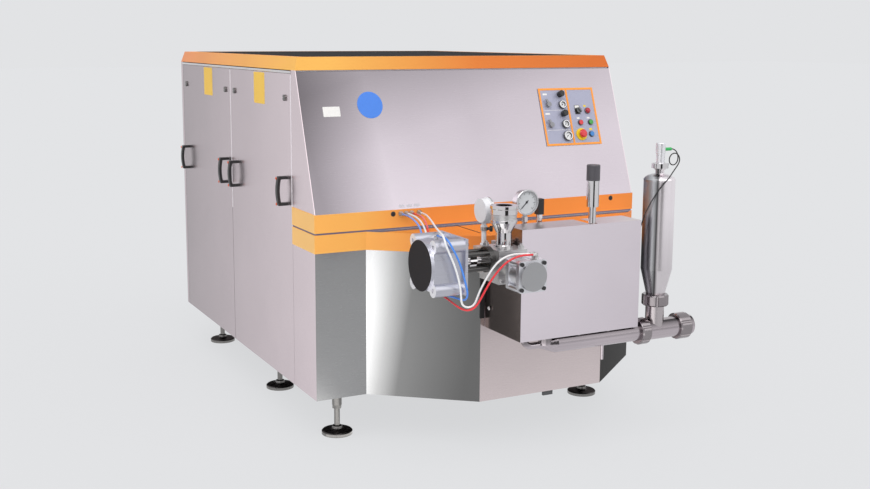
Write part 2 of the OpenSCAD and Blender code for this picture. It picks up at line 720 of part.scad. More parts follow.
// Outline of a belt round both pulleys, grown by e
belt_span = norm([motor_y - crank_y, motor_z - crank_z]);
belt_dir = atan2(motor_z - crank_z, motor_y - crank_y);
belt_lean = asin((large_pulley_r - small_pulley_r) / belt_span);
function arc(c, r, a0, a1, n) = [for (i = [0 : n]) let (a = a0 + (a1 - a0) * i / n)
    c + r * [cos(a), sin(a)]];
function belt_line(e) = concat(
    arc([motor_y, motor_z], small_pulley_r + e, belt_dir - 90 + belt_lean, belt_dir + 90 - belt_lean, 16),
    arc([crank_y, crank_z], large_pulley_r + e, belt_dir + 90 - belt_lean, belt_dir + 270 + belt_lean, 32));
module drive_belts() place() color("black")
    for (k = [0 : belt_n - 1])
        translate([belt_x + pulley_w / 2 + (k - (belt_n - 1) / 2) * belt_pitch - belt_w / 2, 0, 0])
            rotate([90, 0, 90]) linear_extrude(belt_w) difference() {
                polygon(belt_line(4));
                polygon(belt_line(4 - belt_t));
            }

module pump_head() place() color("silver") difference() {
    union() {
        translate([head_left, -head_front, head_z]) cube([head_w, head_front + head_back, head_h]);
        for (k = [-1 : 1])
            translate([pump_cx + k * plunger_pitch, 0, 0]) {
                // the cover's front lies on these bosses
                translate([0, -head_front, plunger_z]) rotate([90, 0, 0])
                    cylinder(r = 52, h = cover_front - cover_t - head_front);
                translate([0, -valve_row, head_top]) cylinder(r = 2 * plunger_r, h = 24);
                translate([0, -valve_row, head_top + 24]) cylinder(r = plunger_r + 2, h = 20, $fn = 6);
            }
    }
    for (k = [-1 : 1])
        translate([pump_cx + k * plunger_pitch, head_back + 1, plunger_z]) rotate([90, 0, 0])
            cylinder(r = plunger_r + run_gap, h = 225);
}
// Positions of the three plungers along their stroke, a third of a turn apart
plunger_phase = [0.5, -0.25, -0.25];
module plunger(k) place() color("lightgray")
    translate([pump_cx + (k - 1) * plunger_pitch, plunger_phase[k] * stroke, plunger_z]) rotate([90, 0, 0]) {
        cylinder(r = plunger_r, h = plunger_l);
        translate([0, 0, -60]) cylinder(r = crosshead_r, h = 120);
    }
module plunger_1() plunger(0);
module plunger_2() plunger(1);
module plunger_3() plunger(2);

// Folded cover: front, top flange and two cheeks, open below and behind
rod_x = pump_cx + 60;
rod_y = 574;
cheek = [[-cover_front, cover_z], [-prow_out - 3, cover_z], [-prow_out - 3, cover_z + 270],
    [-cover_front + cover_top_d, cover_top], [-cover_front, cover_top]];
module head_cover() place() color("silver") {
    difference() {
        translate([cover_left, 0, 0]) rotate([90, 0, 90]) linear_extrude(cover_w) polygon(cheek);
        translate([cover_left + cover_t, 0, 0]) rotate([90, 0, 90]) linear_extrude(cover_w - 2 * cover_t)
            polygon([[cover_t - cover_front, cover_z - 1], [0, cover_z - 1], [0, cover_top + 1],
                [-cover_front + cover_top_d, cover_top + 1],
                [-cover_front + cover_top_d, cover_top - cover_t],
                [cover_t - cover_front, cover_top - cover_t]]);
        // slot of the rod transmitter and slot round the valve block's adapter, open at the back
        translate([rod_x - 18, -rod_y - 18, cover_top - 20]) cube([36, cover_front, 40]);
        translate([cover_left - 1, adapter_front - 6, adapter_z - 5])
            cube([cover_t + 2, 400, adapter_top - adapter_z + 10]);
        // the suction pipe passes under the right cheek
        translate([cover_right - cover_t - 1, -cover_front + cover_t, cover_z - 1])
            cube([cover_t + 2, cover_front, suction_z + pipe_r + 8 - cover_z]);
    }
}
// The valve block: main block, adapter to the pump head, nuts and screws
adapter_front = block_front + block_d;
adapter_back = -420;
adapter_z = block_z + 13;
adapter_top = block_top - 16;
module valve_block() place() color("gray") difference() {
    union() {
        translate([block_left, block_front, block_z]) cube([block_w, block_d, block_h]);
        translate([block_left + 15, adapter_front - 1, adapter_z])
            cube([head_left - block_left - 15, adapter_back - adapter_front + 1, adapter_top - adapter_z]);
        for (sx = [-1, 1], sy = [-1, 1])
            translate([valve_cx + sx * 48, -valve_y + sy * 56, block_top]) {
                cylinder(r = 14, h = 12, $fn = 6);
                cylinder(r = 7, h = 20);
            }
        for (sx = [-1, 1], sz = [-1, 1])
            translate([valve_cx + sx * 50, block_front, second_z + sz * 42]) rotate([90, 0, 0])
                cylinder(r = 8, h = 9);
        // pipe stub and plug on the adapter
        translate([block_left + 100, -448, adapter_top]) cylinder(r = 15, h = 18, $fn = 6);
    }
    translate([block_left - 1, -valve_y, main_z]) rotate([0, 90, 0]) cylinder(r = rod_r + run_gap, h = 61);
}
// Outlet union standing on the block
module outlet_port() place() color("silver") translate([valve_cx, -valve_y, 0]) difference() {
    rotate_extrude() polygon([[0, block_top], [40, block_top], [40, block_top + 8], [32, block_top + 12],
        [32, outlet_z - 108], [54, outlet_z - 67], [54, outlet_z - 58], [51, outlet_z - 56],
        [51, outlet_z - 36], [54, outlet_z - 34], [54, outlet_z - 14], [57, outlet_z - 11],
        [57, outlet_z], [0, outlet_z]]);
    translate([0, 0, outlet_z - 95]) cylinder(r = outlet_r, h = 96);
}
// Tie-rod pneumatic cylinder with its yoke, lying along X to the block's left
yoke_end = block_left - yoke_l;
barrel_end = yoke_end - 12 - barrel_l;
module along_main() translate([0, -valve_y, main_z]) rotate([90, 0, 90]) children();
module barrel_outline() {
    square(2 * (tie_half + 9), center = true);
    for (sx = [-1, 1], sy = [-1, 1])
        translate([sx * tie_half, sy * tie_half]) circle(r = tie_r);
}
module main_actuator() place() color("gainsboro") difference() {
    along_main() {
        translate([0, 0, barrel_end]) linear_extrude(barrel_l) barrel_outline();
        translate([0, 0, barrel_end - 13]) cylinder(r = end_disc_r, h = 14);
        translate([0, 0, yoke_end - 12]) linear_extrude(12) square(2 * (tie_half + tie_r - 1), center = true);
        for (sx = [-1, 1], sy = [-1, 1])
            translate([sx * tie_half, sy * tie_half, yoke_end]) cylinder(r = 13, h = 10, $fn = 6);
        translate([0, 0, yoke_end]) cylinder(r = 58, h = 26);
        translate([0, 0, block_left - 22]) cylinder(r = 52, h = 22);
        for (a = [45 : 90 : 315])
            rotate(a) translate([43, 0, yoke_end + 20]) cylinder(r = 9, h = yoke_l - 36);
    }
    along_main() {
        translate([0, 0, yoke_end - 60]) cylinder(r = rod_r + run_gap, h = yoke_l + 61);
        // sockets in the ends of the tie rods
        for (sx = [-1, 1], sy = [-1, 1])
            translate([sx * tie_half, sy * tie_half, barrel_end - 1]) cylinder(r = tie_r / 3, h = 13);
    }
}
module main_valve_rod() place() color("silver") along_main() {
    translate([0, 0, yoke_end - 45]) cylinder(r = rod_r, h = yoke_l + 90);
    translate([0, 0, yoke_end + 62]) cylinder(r = 24, h = 30, $fn = 6);
}
// Smaller actuator on the block's front, pointing towards the user
second_body = second_front - 12;
module second_actuator() place() color("gainsboro") translate([valve_cx, 0, second_z]) rotate([90, 0, 0]) {
    translate([0, 0, -block_front]) cylinder(r = 42, h = 16);
    translate([0, 0, -block_front]) cylinder(r = 31, h = second_body - 96 + block_front + 1);
    translate([0, 0, second_body - 96]) linear_extrude(96) {
        circle(r = second_w / 2 - 1);
        for (sx = [-1, 1], sy = [-1, 1])
            translate([sx, sy] * (second_w / 2 - 13)) circle(r = 13);
    }
    for (z = [second_body - 96, second_body - 20])
        translate([0, 0, z]) linear_extrude(20) offset(r = 20) square(second_w - 40, center = true);
    // flat seat of the two elbows
    translate([10, second_w / 2 - 30, second_body - 80]) cube([second_w / 2 - 16, 30, 62]);
    translate([0, 0, second_body]) cylinder(r = second_w / 2 - 6, h = 12);
    for (sx = [-1, 1], sy = [-1, 1])
        translate([sx * (second_w / 2 - 13), sy * (second_w / 2 - 13), second_body]) cylinder(r = 8, h = 6);
}

// Suction manifold, its risers to the pump head, reducer, elbow and tee
pipe_l = cover_left + 190;
elbow_r = 40;
elbow_x = head_left + 20;
tee_l = tank_cx - 49;
module along_suction(x) translate([x, -suction_y, suction_z]) rotate([0, 90, 0]) children();
module suction_line() place() color("silver") difference() {
    union() {
        along_suction(pipe_l) cylinder(r = pipe_r, h = tee_l - pipe_l);
        along_suction(pipe_l - 76) cylinder(r1 = 14, r2 = pipe_r, h = 76);
        along_suction(elbow_x + elbow_r) cylinder(r = 14, h = pipe_l - 76 - elbow_x - elbow_r + 1);
        translate([elbow_x + elbow_r, -suction_y, suction_z + elbow_r]) rotate([90, 0, 0])
            rotate([0, 0, 180]) rotate_extrude(angle = 90) translate([elbow_r, 0]) circle(r = 14);
        translate([elbow_x, -suction_y, suction_z + elbow_r])
            cylinder(r = 14, h = head_z - suction_z - elbow_r);
        for (k = [-1 : 1])
            translate([pump_cx + k * plunger_pitch, -suction_y, suction_z])
                cylinder(r = 29, h = head_z - suction_z);
        along_suction(tee_l) cylinder(r = tee_r, h = inlet_end - tee_l);
        translate([tank_cx, -suction_y, suction_z]) cylinder(r = pipe_r, h = tank_z - suction_z);
        // drain under the manifold
        translate([pump_cx + 142, -suction_y, suction_z - drain_l]) cylinder(r = 6, h = drain_l);
    }
    along_suction(inlet_end - inlet_l) cylinder(r = inlet_r, h = inlet_l + 1);
}
// Lower end of the dampener, on the tee's neck
tank_z = suction_z + 110;
nut_l = 48;
drain_l = 102;
// A slotted round nut
module union_nut(l, bore) difference() {
    rotate_extrude() polygon([[bore + free_gap, 0], [nut_r - 5, 0], [nut_r, 5], [nut_r, l - 5],
        [nut_r - 5, l], [bore + free_gap, l]]);
    for (a = [0 : 60 : 300])
        rotate(a) translate([nut_r + 2, 0, -1]) cylinder(r = 7, h = l + 2);
}
module union_nuts() place() color("silver") {
    along_suction(tee_l - nut_l - 2) union_nut(nut_l, pipe_r);
    along_suction(inlet_end - 82) union_nut(nut_l + 14, tee_r);
    translate([tank_cx, -suction_y, tank_z]) union_nut(nut_l, pipe_r);
}
// Pulsation dampener: tank with cone, dome and clamp ferrule
tank_cyl = tank_z + 161;
tank_top = tank_z + tank_h;
ferrule_z = tank_top + 57;
module dampener() place() color("silver") translate([tank_cx, -suction_y, 0]) rotate_extrude()
    polygon(concat([[0, tank_z], [pipe_r, tank_z], [pipe_r, tank_z + 49], [tank_r, tank_cyl],
        [tank_r, tank_top]],
        [for (a = [15 : 15 : 75]) [tank_r * cos(a) + 3, tank_top + 34 * sin(a)]],
        [[19, tank_top + 35], [19, ferrule_z - 6], [25, ferrule_z - 6], [25, ferrule_z], [0, ferrule_z]]));

// Level sensor with its clamp, rod transmitter and pressure transducer
sensor_z = ferrule_z + 61;
trans_x = pump_cx - 110;
trans_y = 435;
module sensors() place() color("silver") {
    translate([tank_cx, -suction_y, 0]) {
        rotate_extrude() polygon([[0, ferrule_z], [36, ferrule_z], [36, ferrule_z + 20], [18, ferrule_z + 24],
            [18, sensor_z], [20.5, sensor_z + 2], [20.5, sensor_z + 44], [18, sensor_z + 47],
            [0, sensor_z + 47]]);
        translate([0, 0, sensor_z + 18]) rotate([0, 90, 0]) cylinder(r = 7, h = plug_l);
    }
    translate([rod_x, -rod_y, 0]) rotate_extrude() polygon([[0, head_top], [15.5, head_top], [15.5, rod_z],
        [26, rod_z], [26, rod_z + 109], [28, rod_z + 109], [28, rod_z + 171], [26, rod_z + 174],
        [0, rod_z + 174]]);
    translate([trans_x, -trans_y, 0]) {
        translate([0, 0, head_top]) cylinder(r = 12, h = 130);
        translate([0, 0, head_top + 120]) cylinder(r = 15, h = 16, $fn = 6);
        translate([-14, -14, head_top + 136]) cube([28, 30, 66]);
    }
}
plug_l = 55;
rod_z = cover_top + 70;

// Bulkhead unions, elbows of the actuators and the cable gland
bulkhead_x = [for (x = [400, 427, 452, 490]) x - half_w];
bulkhead_z = 1012;
bulkhead_r = 8.5;
hose_r = 4;
gland_x = prow_cx - 10;
gland_z = 830;
module elbow_fitting() {
    cylinder(r = 9, h = 9, $fn = 6);
    cylinder(r = 6.5, h = 22);
    translate([0, 0, 16]) rotate([0, -90, 0]) cylinder(r = 6.5, h = 18);
}
module hose_fittings() place() color("gainsboro") {
    for (x = bulkhead_x)
        translate([x, 6, bulkhead_z]) rotate([90, 0, 0]) {
            cylinder(r = bulkhead_r, h = 26);
            translate([0, 0, 6 + band_t]) cylinder(r = 12, h = 7, $fn = 6);
            cylinder(r = 6.5, h = 34);
        }
    for (y = [second_front - 60, second_front - 40])
        translate([valve_cx + 33, -y, second_z + second_w / 2]) elbow_fitting();
    // on the main actuator's top: elbow towards the user; on its back: upright elbow
    translate([yoke_end - 69, -valve_y + 28, main_z + tie_half + 9]) rotate(90) elbow_fitting();
    translate([yoke_end - 57, -valve_y + tie_half + 9, main_z + 27]) {
        rotate([-90, 0, 0]) cylinder(r = 8, h = 36);
        translate([0, 29, 0]) cylinder(r = 7, h = 25);
    }
    translate([gland_x, -prow_out, gland_z]) rotate([90, 0, 0]) {
        cylinder(r = 8, h = 8, $fn = 6);
        cylinder(r = 6, h = 24);
    }
}

// Hoses and the sensor's cable: tubes of eight sides along hand-placed points,
// which are measured from the cabinet's left side
blue_path = [[400, -28, 1012], [400, -50, 1012], [378, -140, 1020], [352, -240, 1019], [319, -350, 1013],
    [294, -412, 1003], [286, -433, 995], [282, -444, 980], [280, -447, 955], [279, -447, 880],
    [281, -447, 815], [283, -452, 795], [287, -464, 782], [294, -485, 776], [311, -545, 776],
    [329, -610, 775], [339, -645, 773], [344, -668, 772], [346, -686, 776], [346, -699, 787],
    [345, -706, 804], [341, -706, 828], [317, -704, 912], [300, -703, 950], [280, -702, 985],
    [272, -697, 1003], [267, -685, 1016], [266, -667, 1022], [270, -640, 1020], [280, -608, 1014],
    [288, -582, 1012], [288, -566, 1012]];
white_path_1 = [[427, -28, 1012], [427, -50, 1012], [406, -140, 1017], [378, -240, 1017],
    [340, -345, 1012], [313, -415, 1002], [305, -436, 995], [301, -449, 983], [300, -454, 968],
    [300, -454, 955]];
red_path = [[452, -28, 1012], [452, -50, 1012], [432, -130, 1020], [396, -240, 1022], [353, -350, 1014],
    [326, -418, 992], [317, -438, 945], [315, -442, 830], [319, -478, 776], [327, -560, 762],
    [329, -612, 752], [331, -652, 744], [338, -685, 737], [352, -709, 738], [369, -722, 751],
    [385, -727, 774], [405, -730, 812], [438, -737, 868], [480, -750, 920], [517, -763, 942],
    [553, -768, 949], [575, -768, 947], [595, -768, 947]];
white_path_2 = [[490, -28, 1012], [490, -50, 1012], [463, -130, 1019], [414, -260, 1023],
    [361, -390, 1027], [307, -520, 1031], [274, -610, 1034], [259, -652, 1035], [251, -676, 1033],
    [247, -694, 1026], [246, -706, 1011], [251, -710, 990], [282, -710, 929], [303, -709, 869],
    [314, -708, 820], [317, -706, 784], [320, -705, 769], [329, -704, 758], [342, -704, 751],
    [357, -704, 750], [371, -705, 756], [380, -706, 767], [385, -708, 783], [395, -711, 812],
    [417, -717, 856], [451, -726, 912], [485, -735, 940], [525, -743, 951], [563, -748, 949],
    [577, -748, 947], [595, -748, 947]];
cable_path = [[1419, -560, 1303], [1432, -560, 1303], [1453, -560, 1290], [1461, -561, 1264],
    [1452, -562, 1239], [1431, -563, 1231], [1411, -565, 1240], [1404, -567, 1261], [1413, -569, 1281],
    [1433, -571, 1288], [1453, -573, 1277], [1459, -575, 1253], [1442, -580, 1232], [1400, -604, 1212],
    [1355, -632, 1186], [1317, -622, 1146], [1283, -606, 1086], [1273, -566, 1005], [1273, -535, 900],
    [1272, -510, 790], [1269, -484, 742], [1263, -444, 742], [1257, -398, 790], [1254, -358, 830],
    [1254, -336, 830]];
cable_r = 2.5;

// Direction of the path at a point, and the ring of eight corners round it
function heading(p, i) = let (d = p[min(i + 1, len(p) - 1)] - p[max(i - 1, 0)]) d / norm(d);
function unit(v) = v / norm(v);
// The rings turn as little as possible from one to the next
function carried(side, d) = unit(side - (side * d) * d);
function sides(p, i = 0, s = [0, 0, 0]) = i == len(p) ? [] :
    let (d = heading(p, i), first = unit(cross(d, abs(d[2]) > 0.9 ? [0, 1, 0] : [0, 0, 1])),
         now = i == 0 ? first : carried(s, d))
    concat([now], sides(p, i + 1, now));
module tube(path, r) {
    p = [for (q = path) q - [half_w, 0, 0]];
    across = sides(p);
    points = [for (i = [0 : len(p) - 1]) let (d = heading(p, i), s = across[i], u = cross(s, d))
        for (k = [0 : 7]) p[i] + r * (cos(45 * k) * s + sin(45 * k) * u)];
    last = 8 * (len(p) - 1);
    faces = concat([[for (k = [0 : 7]) k], [for (k = [7 : -1 : 0]) last + k]],
        [for (i = [0 : len(p) - 2], k = [0 : 7])
            [8 * i + k, 8 * i + 8 + k, 8 * i + 8 + (k + 1) % 8, 8 * i + (k + 1) % 8]]);
    polyhedron(points, faces, convexity = 8);
}
module blue_hose() place() color("royalblue") tube(blue_path, hose_r);
module white_hose_1() place() color("white") tube(white_path_1, hose_r);
module red_hose() place() color("red") tube(red_path, hose_r);
module white_hose_2() place() color("white") tube(white_path_2, hose_r);
module sensor_cable() place() color("black") tube(cable_path, cable_r);

base_frame();
levelling_feet();
front_housing();
upper_front_panel();
left_corner_panel();
right_side_panel();
rear_panel();
roof_panel();
roof_trim();
waist_bands();
front_access_panel();
rear_access_panel();
front_panel_handles();
rear_panel_handles();
panel_lock_1();
panel_lock_2();
panel_lock_3();
panel_lock_4();
control_plate();
pressure_gauges();
panel_needle_1();
panel_needle_2();
panel_needle_3();
head_needle_1();
head_needle_2();
regulator_knob_1();
regulator_knob_2();
mode_lever_1();
mode_lever_2();
selector_switch();
stop_button();
start_button();
reset_button();
emergency_stop();
button_bezels();
crankcase();
main_motor();
motor_pulley();
driven_pulley();
drive_belts();
pump_head();
plunger_1();
plunger_2();
plunger_3();
head_cover();
valve_block();
outlet_port();
main_actuator();
main_valve_rod();
second_actuator();
suction_line();
union_nuts();
dampener();
sensors();
hose_fittings();
blue_hose();
white_hose_1();
red_hose();
white_hose_2();
sensor_cable();
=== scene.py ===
import math

import bmesh
import bpy
from mathutils import Matrix, Vector


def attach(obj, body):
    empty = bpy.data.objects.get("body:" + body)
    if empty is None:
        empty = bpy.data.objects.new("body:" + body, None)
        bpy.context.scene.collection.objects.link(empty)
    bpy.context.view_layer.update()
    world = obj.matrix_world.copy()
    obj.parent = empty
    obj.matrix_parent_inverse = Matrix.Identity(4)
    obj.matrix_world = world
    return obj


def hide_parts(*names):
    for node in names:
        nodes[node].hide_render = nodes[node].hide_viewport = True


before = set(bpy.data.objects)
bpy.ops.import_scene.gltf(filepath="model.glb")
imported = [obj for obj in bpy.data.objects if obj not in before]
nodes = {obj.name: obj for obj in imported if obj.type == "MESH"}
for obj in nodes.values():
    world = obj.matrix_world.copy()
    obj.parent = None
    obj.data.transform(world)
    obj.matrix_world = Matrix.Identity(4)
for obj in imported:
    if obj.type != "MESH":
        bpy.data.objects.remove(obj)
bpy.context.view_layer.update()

# Directions, and the drawing's main places in millimetres from the cabinet's front middle, on the floor
RIGHT = Vector((1, 0, 0))
LEFT = Vector((-1, 0, 0))
FRONT = Vector((0, -1, 0))
BACK = Vector((0, 1, 0))
UP = Vector((0, 0, 1))
HALF_W = 825
BACK_Y = 2063
BAND_GAP_Z = 947
UPPER_BAND_Z = 1012
VALVE_X, VALVE_Y = -245, -576
MAIN_ACTUATOR_Z, SECOND_ACTUATOR_Z = 903, 868

# The leaning panel goes back by SLOPE_BACK over SLOPE_RISE; the control plate lies on it
SLOPE_FOOT_Z, SLOPE_BACK, SLOPE_RISE = 1030, 214, 600
TILT = math.atan(SLOPE_BACK / SLOPE_RISE)
UP_SLOPE = Vector((0, math.sin(TILT), math.cos(TILT)))
OUT_SLOPE = Vector((0, -math.cos(TILT), math.sin(TILT)))
PLATE_X, PLATE_U, PLATE_W, PLATE_H, PLATE_T = HALF_W - 439, 250, 313, 283, 3

# Dials: planes of the two on the pump head, and places (share across, share down, radius) on the plate
FRONT_DIAL, LEFT_DIAL, HEAD_DIAL_R = (-63, -455, 1099), (-256, -462, 1080), 48
PLATE_DIALS = ((0.386, 0.295, 14), (0.39, 0.635, 14), (0.392, 0.84, 18))
PLATE_DIAL_OUT = 5

# From the drawing's origin to that of the shared frame
SHIFT = Vector((19.5, -627.5, 0.0))


def at(x, y, z):
    """A point of the drawing, in metres of the shared frame."""
    return (Vector((x, y, z)) + SHIFT) / 1000


def on_slope(x, u, w=0.0):
    """A point of the leaning panel: x across, u up the slope, w outwards."""
    return at(0, 0, SLOPE_FOOT_Z) + (RIGHT * x + UP_SLOPE * u + OUT_SLOPE * w) / 1000


def on_plate(s, t, w=0.0):
    """A point of the control plate, as shares of its width and height from the top left."""
    return on_slope(PLATE_X + s * PLATE_W, PLATE_U + (1 - t) * PLATE_H, PLATE_T + w)


def add_object(name, data):
    obj = bpy.data.objects.new(name, data)
    bpy.context.scene.collection.objects.link(obj)
    return obj


# Camera at the photograph's viewpoint: place in metres, then turn, tilt down and roll in degrees
CAMERA_AT = (-2.5225, -4.9885, 1.775)
CAMERA_TURN, CAMERA_DOWN, CAMERA_ROLL = -26.44, 9.07, 0.17
camera_data = bpy.data.cameras.new("camera")
camera_data.lens = 46.45
camera_data.sensor_width = 36
camera_data.shift_x = 0.0280
camera_data.shift_y = -0.0329
camera_data.clip_end = 200
camera = add_object("camera", camera_data)
camera.matrix_world = (Matrix.Translation(CAMERA_AT)
                       @ Matrix.Rotation(math.radians(CAMERA_TURN), 4, "Z")
                       @ Matrix.Rotation(math.radians(90 - CAMERA_DOWN), 4, "X")
                       @ Matrix.Rotation(math.radians(CAMERA_ROLL), 4, "Z"))
bpy.context.scene.camera = camera
bpy.context.scene.view_settings.view_transform = "Standard"

# Materials: the share of a noise's range that is used, the slow tone and the depth of the relief
NOISE_LOW, NOISE_HIGH = 0.3, 0.7
SLOW_SCALE, SLOW_TONE = 2.2, 0.94
RELIEF = 0.001
SMOOTHEST = 0.02


def new_material(name, metal, specular, coat, edge):
    mat = bpy.data.materials.new(name)
    mat.use_nodes = True
    bsdf = mat.node_tree.nodes["Principled BSDF"]
    bsdf.inputs["Metallic"].default_value = metal
    bsdf.inputs["Specular IOR Level"].default_value = specular
    bsdf.inputs["Coat Weight"].default_value = coat
    bsdf.inputs["Specular Tint"].default_value = (edge, edge, edge, 1)
    return mat, mat.node_tree.nodes, mat.node_tree.links, bsdf


def noise(tree, links, coord, scale, stretch=(1, 1, 1), detail=3.0):
    """Noise in the object's own metres, stretched along an axis for grain."""
    mapping = tree.new("ShaderNodeMapping")
    mapping.inputs["Scale"].default_value = stretch
    links.new(coord.outputs["Object"], mapping.inputs["Vector"])
    tex = tree.new("ShaderNodeTexNoise")
    tex.inputs["Scale"].default_value = scale
    tex.inputs["Detail"].default_value = detail
    links.new(mapping.outputs["Vector"], tex.inputs["Vector"])
    return tex.outputs["Fac"]


def ramp(tree, links, factor, stops):
    """Colours between stops (place, colour), picked by the factor."""
    node = tree.new("ShaderNodeValToRGB")
    for element, (place, colour) in zip(node.color_ramp.elements, (stops[0], stops[-1])):
        element.position = place
        element.color = (*colour, 1)
    for place, colour in stops[1:-1]:
        node.color_ramp.elements.new(place).color = (*colour, 1)
    links.new(factor, node.inputs["Fac"])
    return node.outputs["Color"]


def map_range(tree, links, value, start, end, low=0.0, high=1.0):
    """Turns start to end of a value into low to high."""
    node = tree.new("ShaderNodeMapRange")
    node.inputs["From Min"].default_value = start
    node.inputs["From Max"].default_value = end
    node.inputs["To Min"].default_value = low
    node.inputs["To Max"].default_value = high
    links.new(value, node.inputs["Value"])
    return node.outputs["Result"]


def multiply(tree, links, a, b):
    node = tree.new("ShaderNodeMix")
    node.data_type = "RGBA"
    node.blend_type = "MULTIPLY"
    node.inputs["Factor"].default_value = 1.0
    links.new(a, node.inputs["A"])
    links.new(b, node.inputs["B"])
    return node.outputs["Result"]


def painted_light_sweep(direction, start, end, *stops):
    """A slow change of tone along a direction, from start to end in metres, that paints reflection and
    shade into a finish.
    Each stop is (share of the way, grey tone or colour)."""
    return direction, start, end, [(share, tone if isinstance(tone, tuple) else (tone,) * 3)
                                   for share, tone in stops]


def surface(name, colour, rough, *, scale, vary, rough_vary, bump, metal=0.0, stretch=(1, 1, 1),
            coat=0.0, specular=0.5, painted_light_sweeps=(), edge=1.0):
    """A finish with fine variation of colour, roughness and relief, and sweeps of painted reflection and
    shade over it.
    Edge is the tint of a metal seen at a flat angle."""
    mat, tree, links, bsdf = new_material(name, metal, specular, coat, edge)
    coord = tree.new("ShaderNodeTexCoord")
    fine = noise(tree, links, coord, scale, stretch)
    slow = noise(tree, links, coord, SLOW_SCALE, detail=2.0)
    dark = tuple(c * (1 - vary) for c in colour)
    light = tuple(min(1.0, c * (1 + vary)) for c in colour)
    shade = ramp(tree, links, fine, [(NOISE_LOW, dark), (NOISE_HIGH, light)])
    slow_tone = ramp(tree, links, slow, [(NOISE_LOW, (SLOW_TONE,) * 3), (NOISE_HIGH, (1.0,) * 3)])
    mixed = multiply(tree, links, shade, slow_tone)
    for direction, start, end, stops in painted_light_sweeps:
        dot = tree.new("ShaderNodeVectorMath")
        dot.operation = "DOT_PRODUCT"
        dot.inputs[1].default_value = direction
        links.new(coord.outputs["Object"], dot.inputs[0])
        along = map_range(tree, links, dot.outputs["Value"], start, end)
        mixed = multiply(tree, links, mixed, ramp(tree, links, along, stops))
    links.new(mixed, bsdf.inputs["Base Color"])
    roughness = map_range(tree, links, fine, NOISE_LOW, NOISE_HIGH,
                          max(SMOOTHEST, rough - rough_vary), rough + rough_vary)
    links.new(roughness, bsdf.inputs["Roughness"])
    if bump:
        relief = tree.new("ShaderNodeBump")
        relief.inputs["Strength"].default_value = bump
        relief.inputs["Distance"].default_value = RELIEF
        links.new(fine, relief.inputs["Height"])
        links.new(relief.outputs["Normal"], bsdf.inputs["Normal"])
    return mat


# Grain along an axis, and kinds of finish that several materials share
GRAIN_X = (0.02, 1, 1)
GRAIN_Y = (1, 0.02, 1)
GRAIN_Z = (1, 1, 0.02)
SHEET = dict(metal=1.0, scale=900, vary=0.02, rough_vary=0.035, bump=0.012)
MILLED = dict(metal=1.0, scale=260, stretch=GRAIN_X, vary=0.15, rough_vary=0.10, bump=0.06)
DRAWN = dict(metal=1.0, scale=250, vary=0.06, rough_vary=0.06, bump=0.02)
POLISHED = dict(metal=1.0, scale=60, stretch=GRAIN_Z, vary=0.03, rough_vary=0.04, bump=0.0)
ZINC = dict(metal=1.0, scale=260, vary=0.15, rough_vary=0.1, bump=0.04)
ALUMINIUM = dict(metal=1.0, scale=500, vary=0.05, rough_vary=0.08, bump=0.03)
PAINT = dict(scale=420, vary=0.03, rough_vary=0.06, bump=0.05)
FILM = dict(scale=600, vary=0.03, rough_vary=0.06)
MOULDED = dict(scale=400, vary=0.06, rough_vary=0.06, bump=0.04)
SATIN = dict(metal=0.3, scale=500, vary=0.08, rough_vary=0.08, bump=0.06)

# Directions of the painted reflection and shade, and the ends of the cabinet's side in metres
ALONG_X = (1, 0, 0)
ALONG_Y = (0, 1, 0)
ALONG_Z = (0, 0, 1)
ACROSS_TANK = (0.777, -0.63, 0)
SIDE_START, SIDE_END = -0.63, 1.43
STEEL = (0.82, 0.70, 0.735)


def sheet_steel(name, colour=STEEL, rough=0.24, stretch=GRAIN_X, painted_light_sweeps=(), edge=1.0):
    return surface(name, colour, rough, stretch=stretch, painted_light_sweeps=painted_light_sweeps, edge=edge, **SHEET)


def paint_coat(name, colour, specular=0.15, painted_light_sweeps=()):
    return surface(name, colour, 0.5, specular=specular, painted_light_sweeps=painted_light_sweeps, **PAINT)


def plastic(name, colour, rough=0.3, coat=0.0, specular=0.5):
    return surface(name, colour, rough, coat=coat, specular=specular, **MOULDED)


def print_film(name, colour, rough=0.5, specular=0.2):
    return plastic(name, colour, rough, specular=specular)


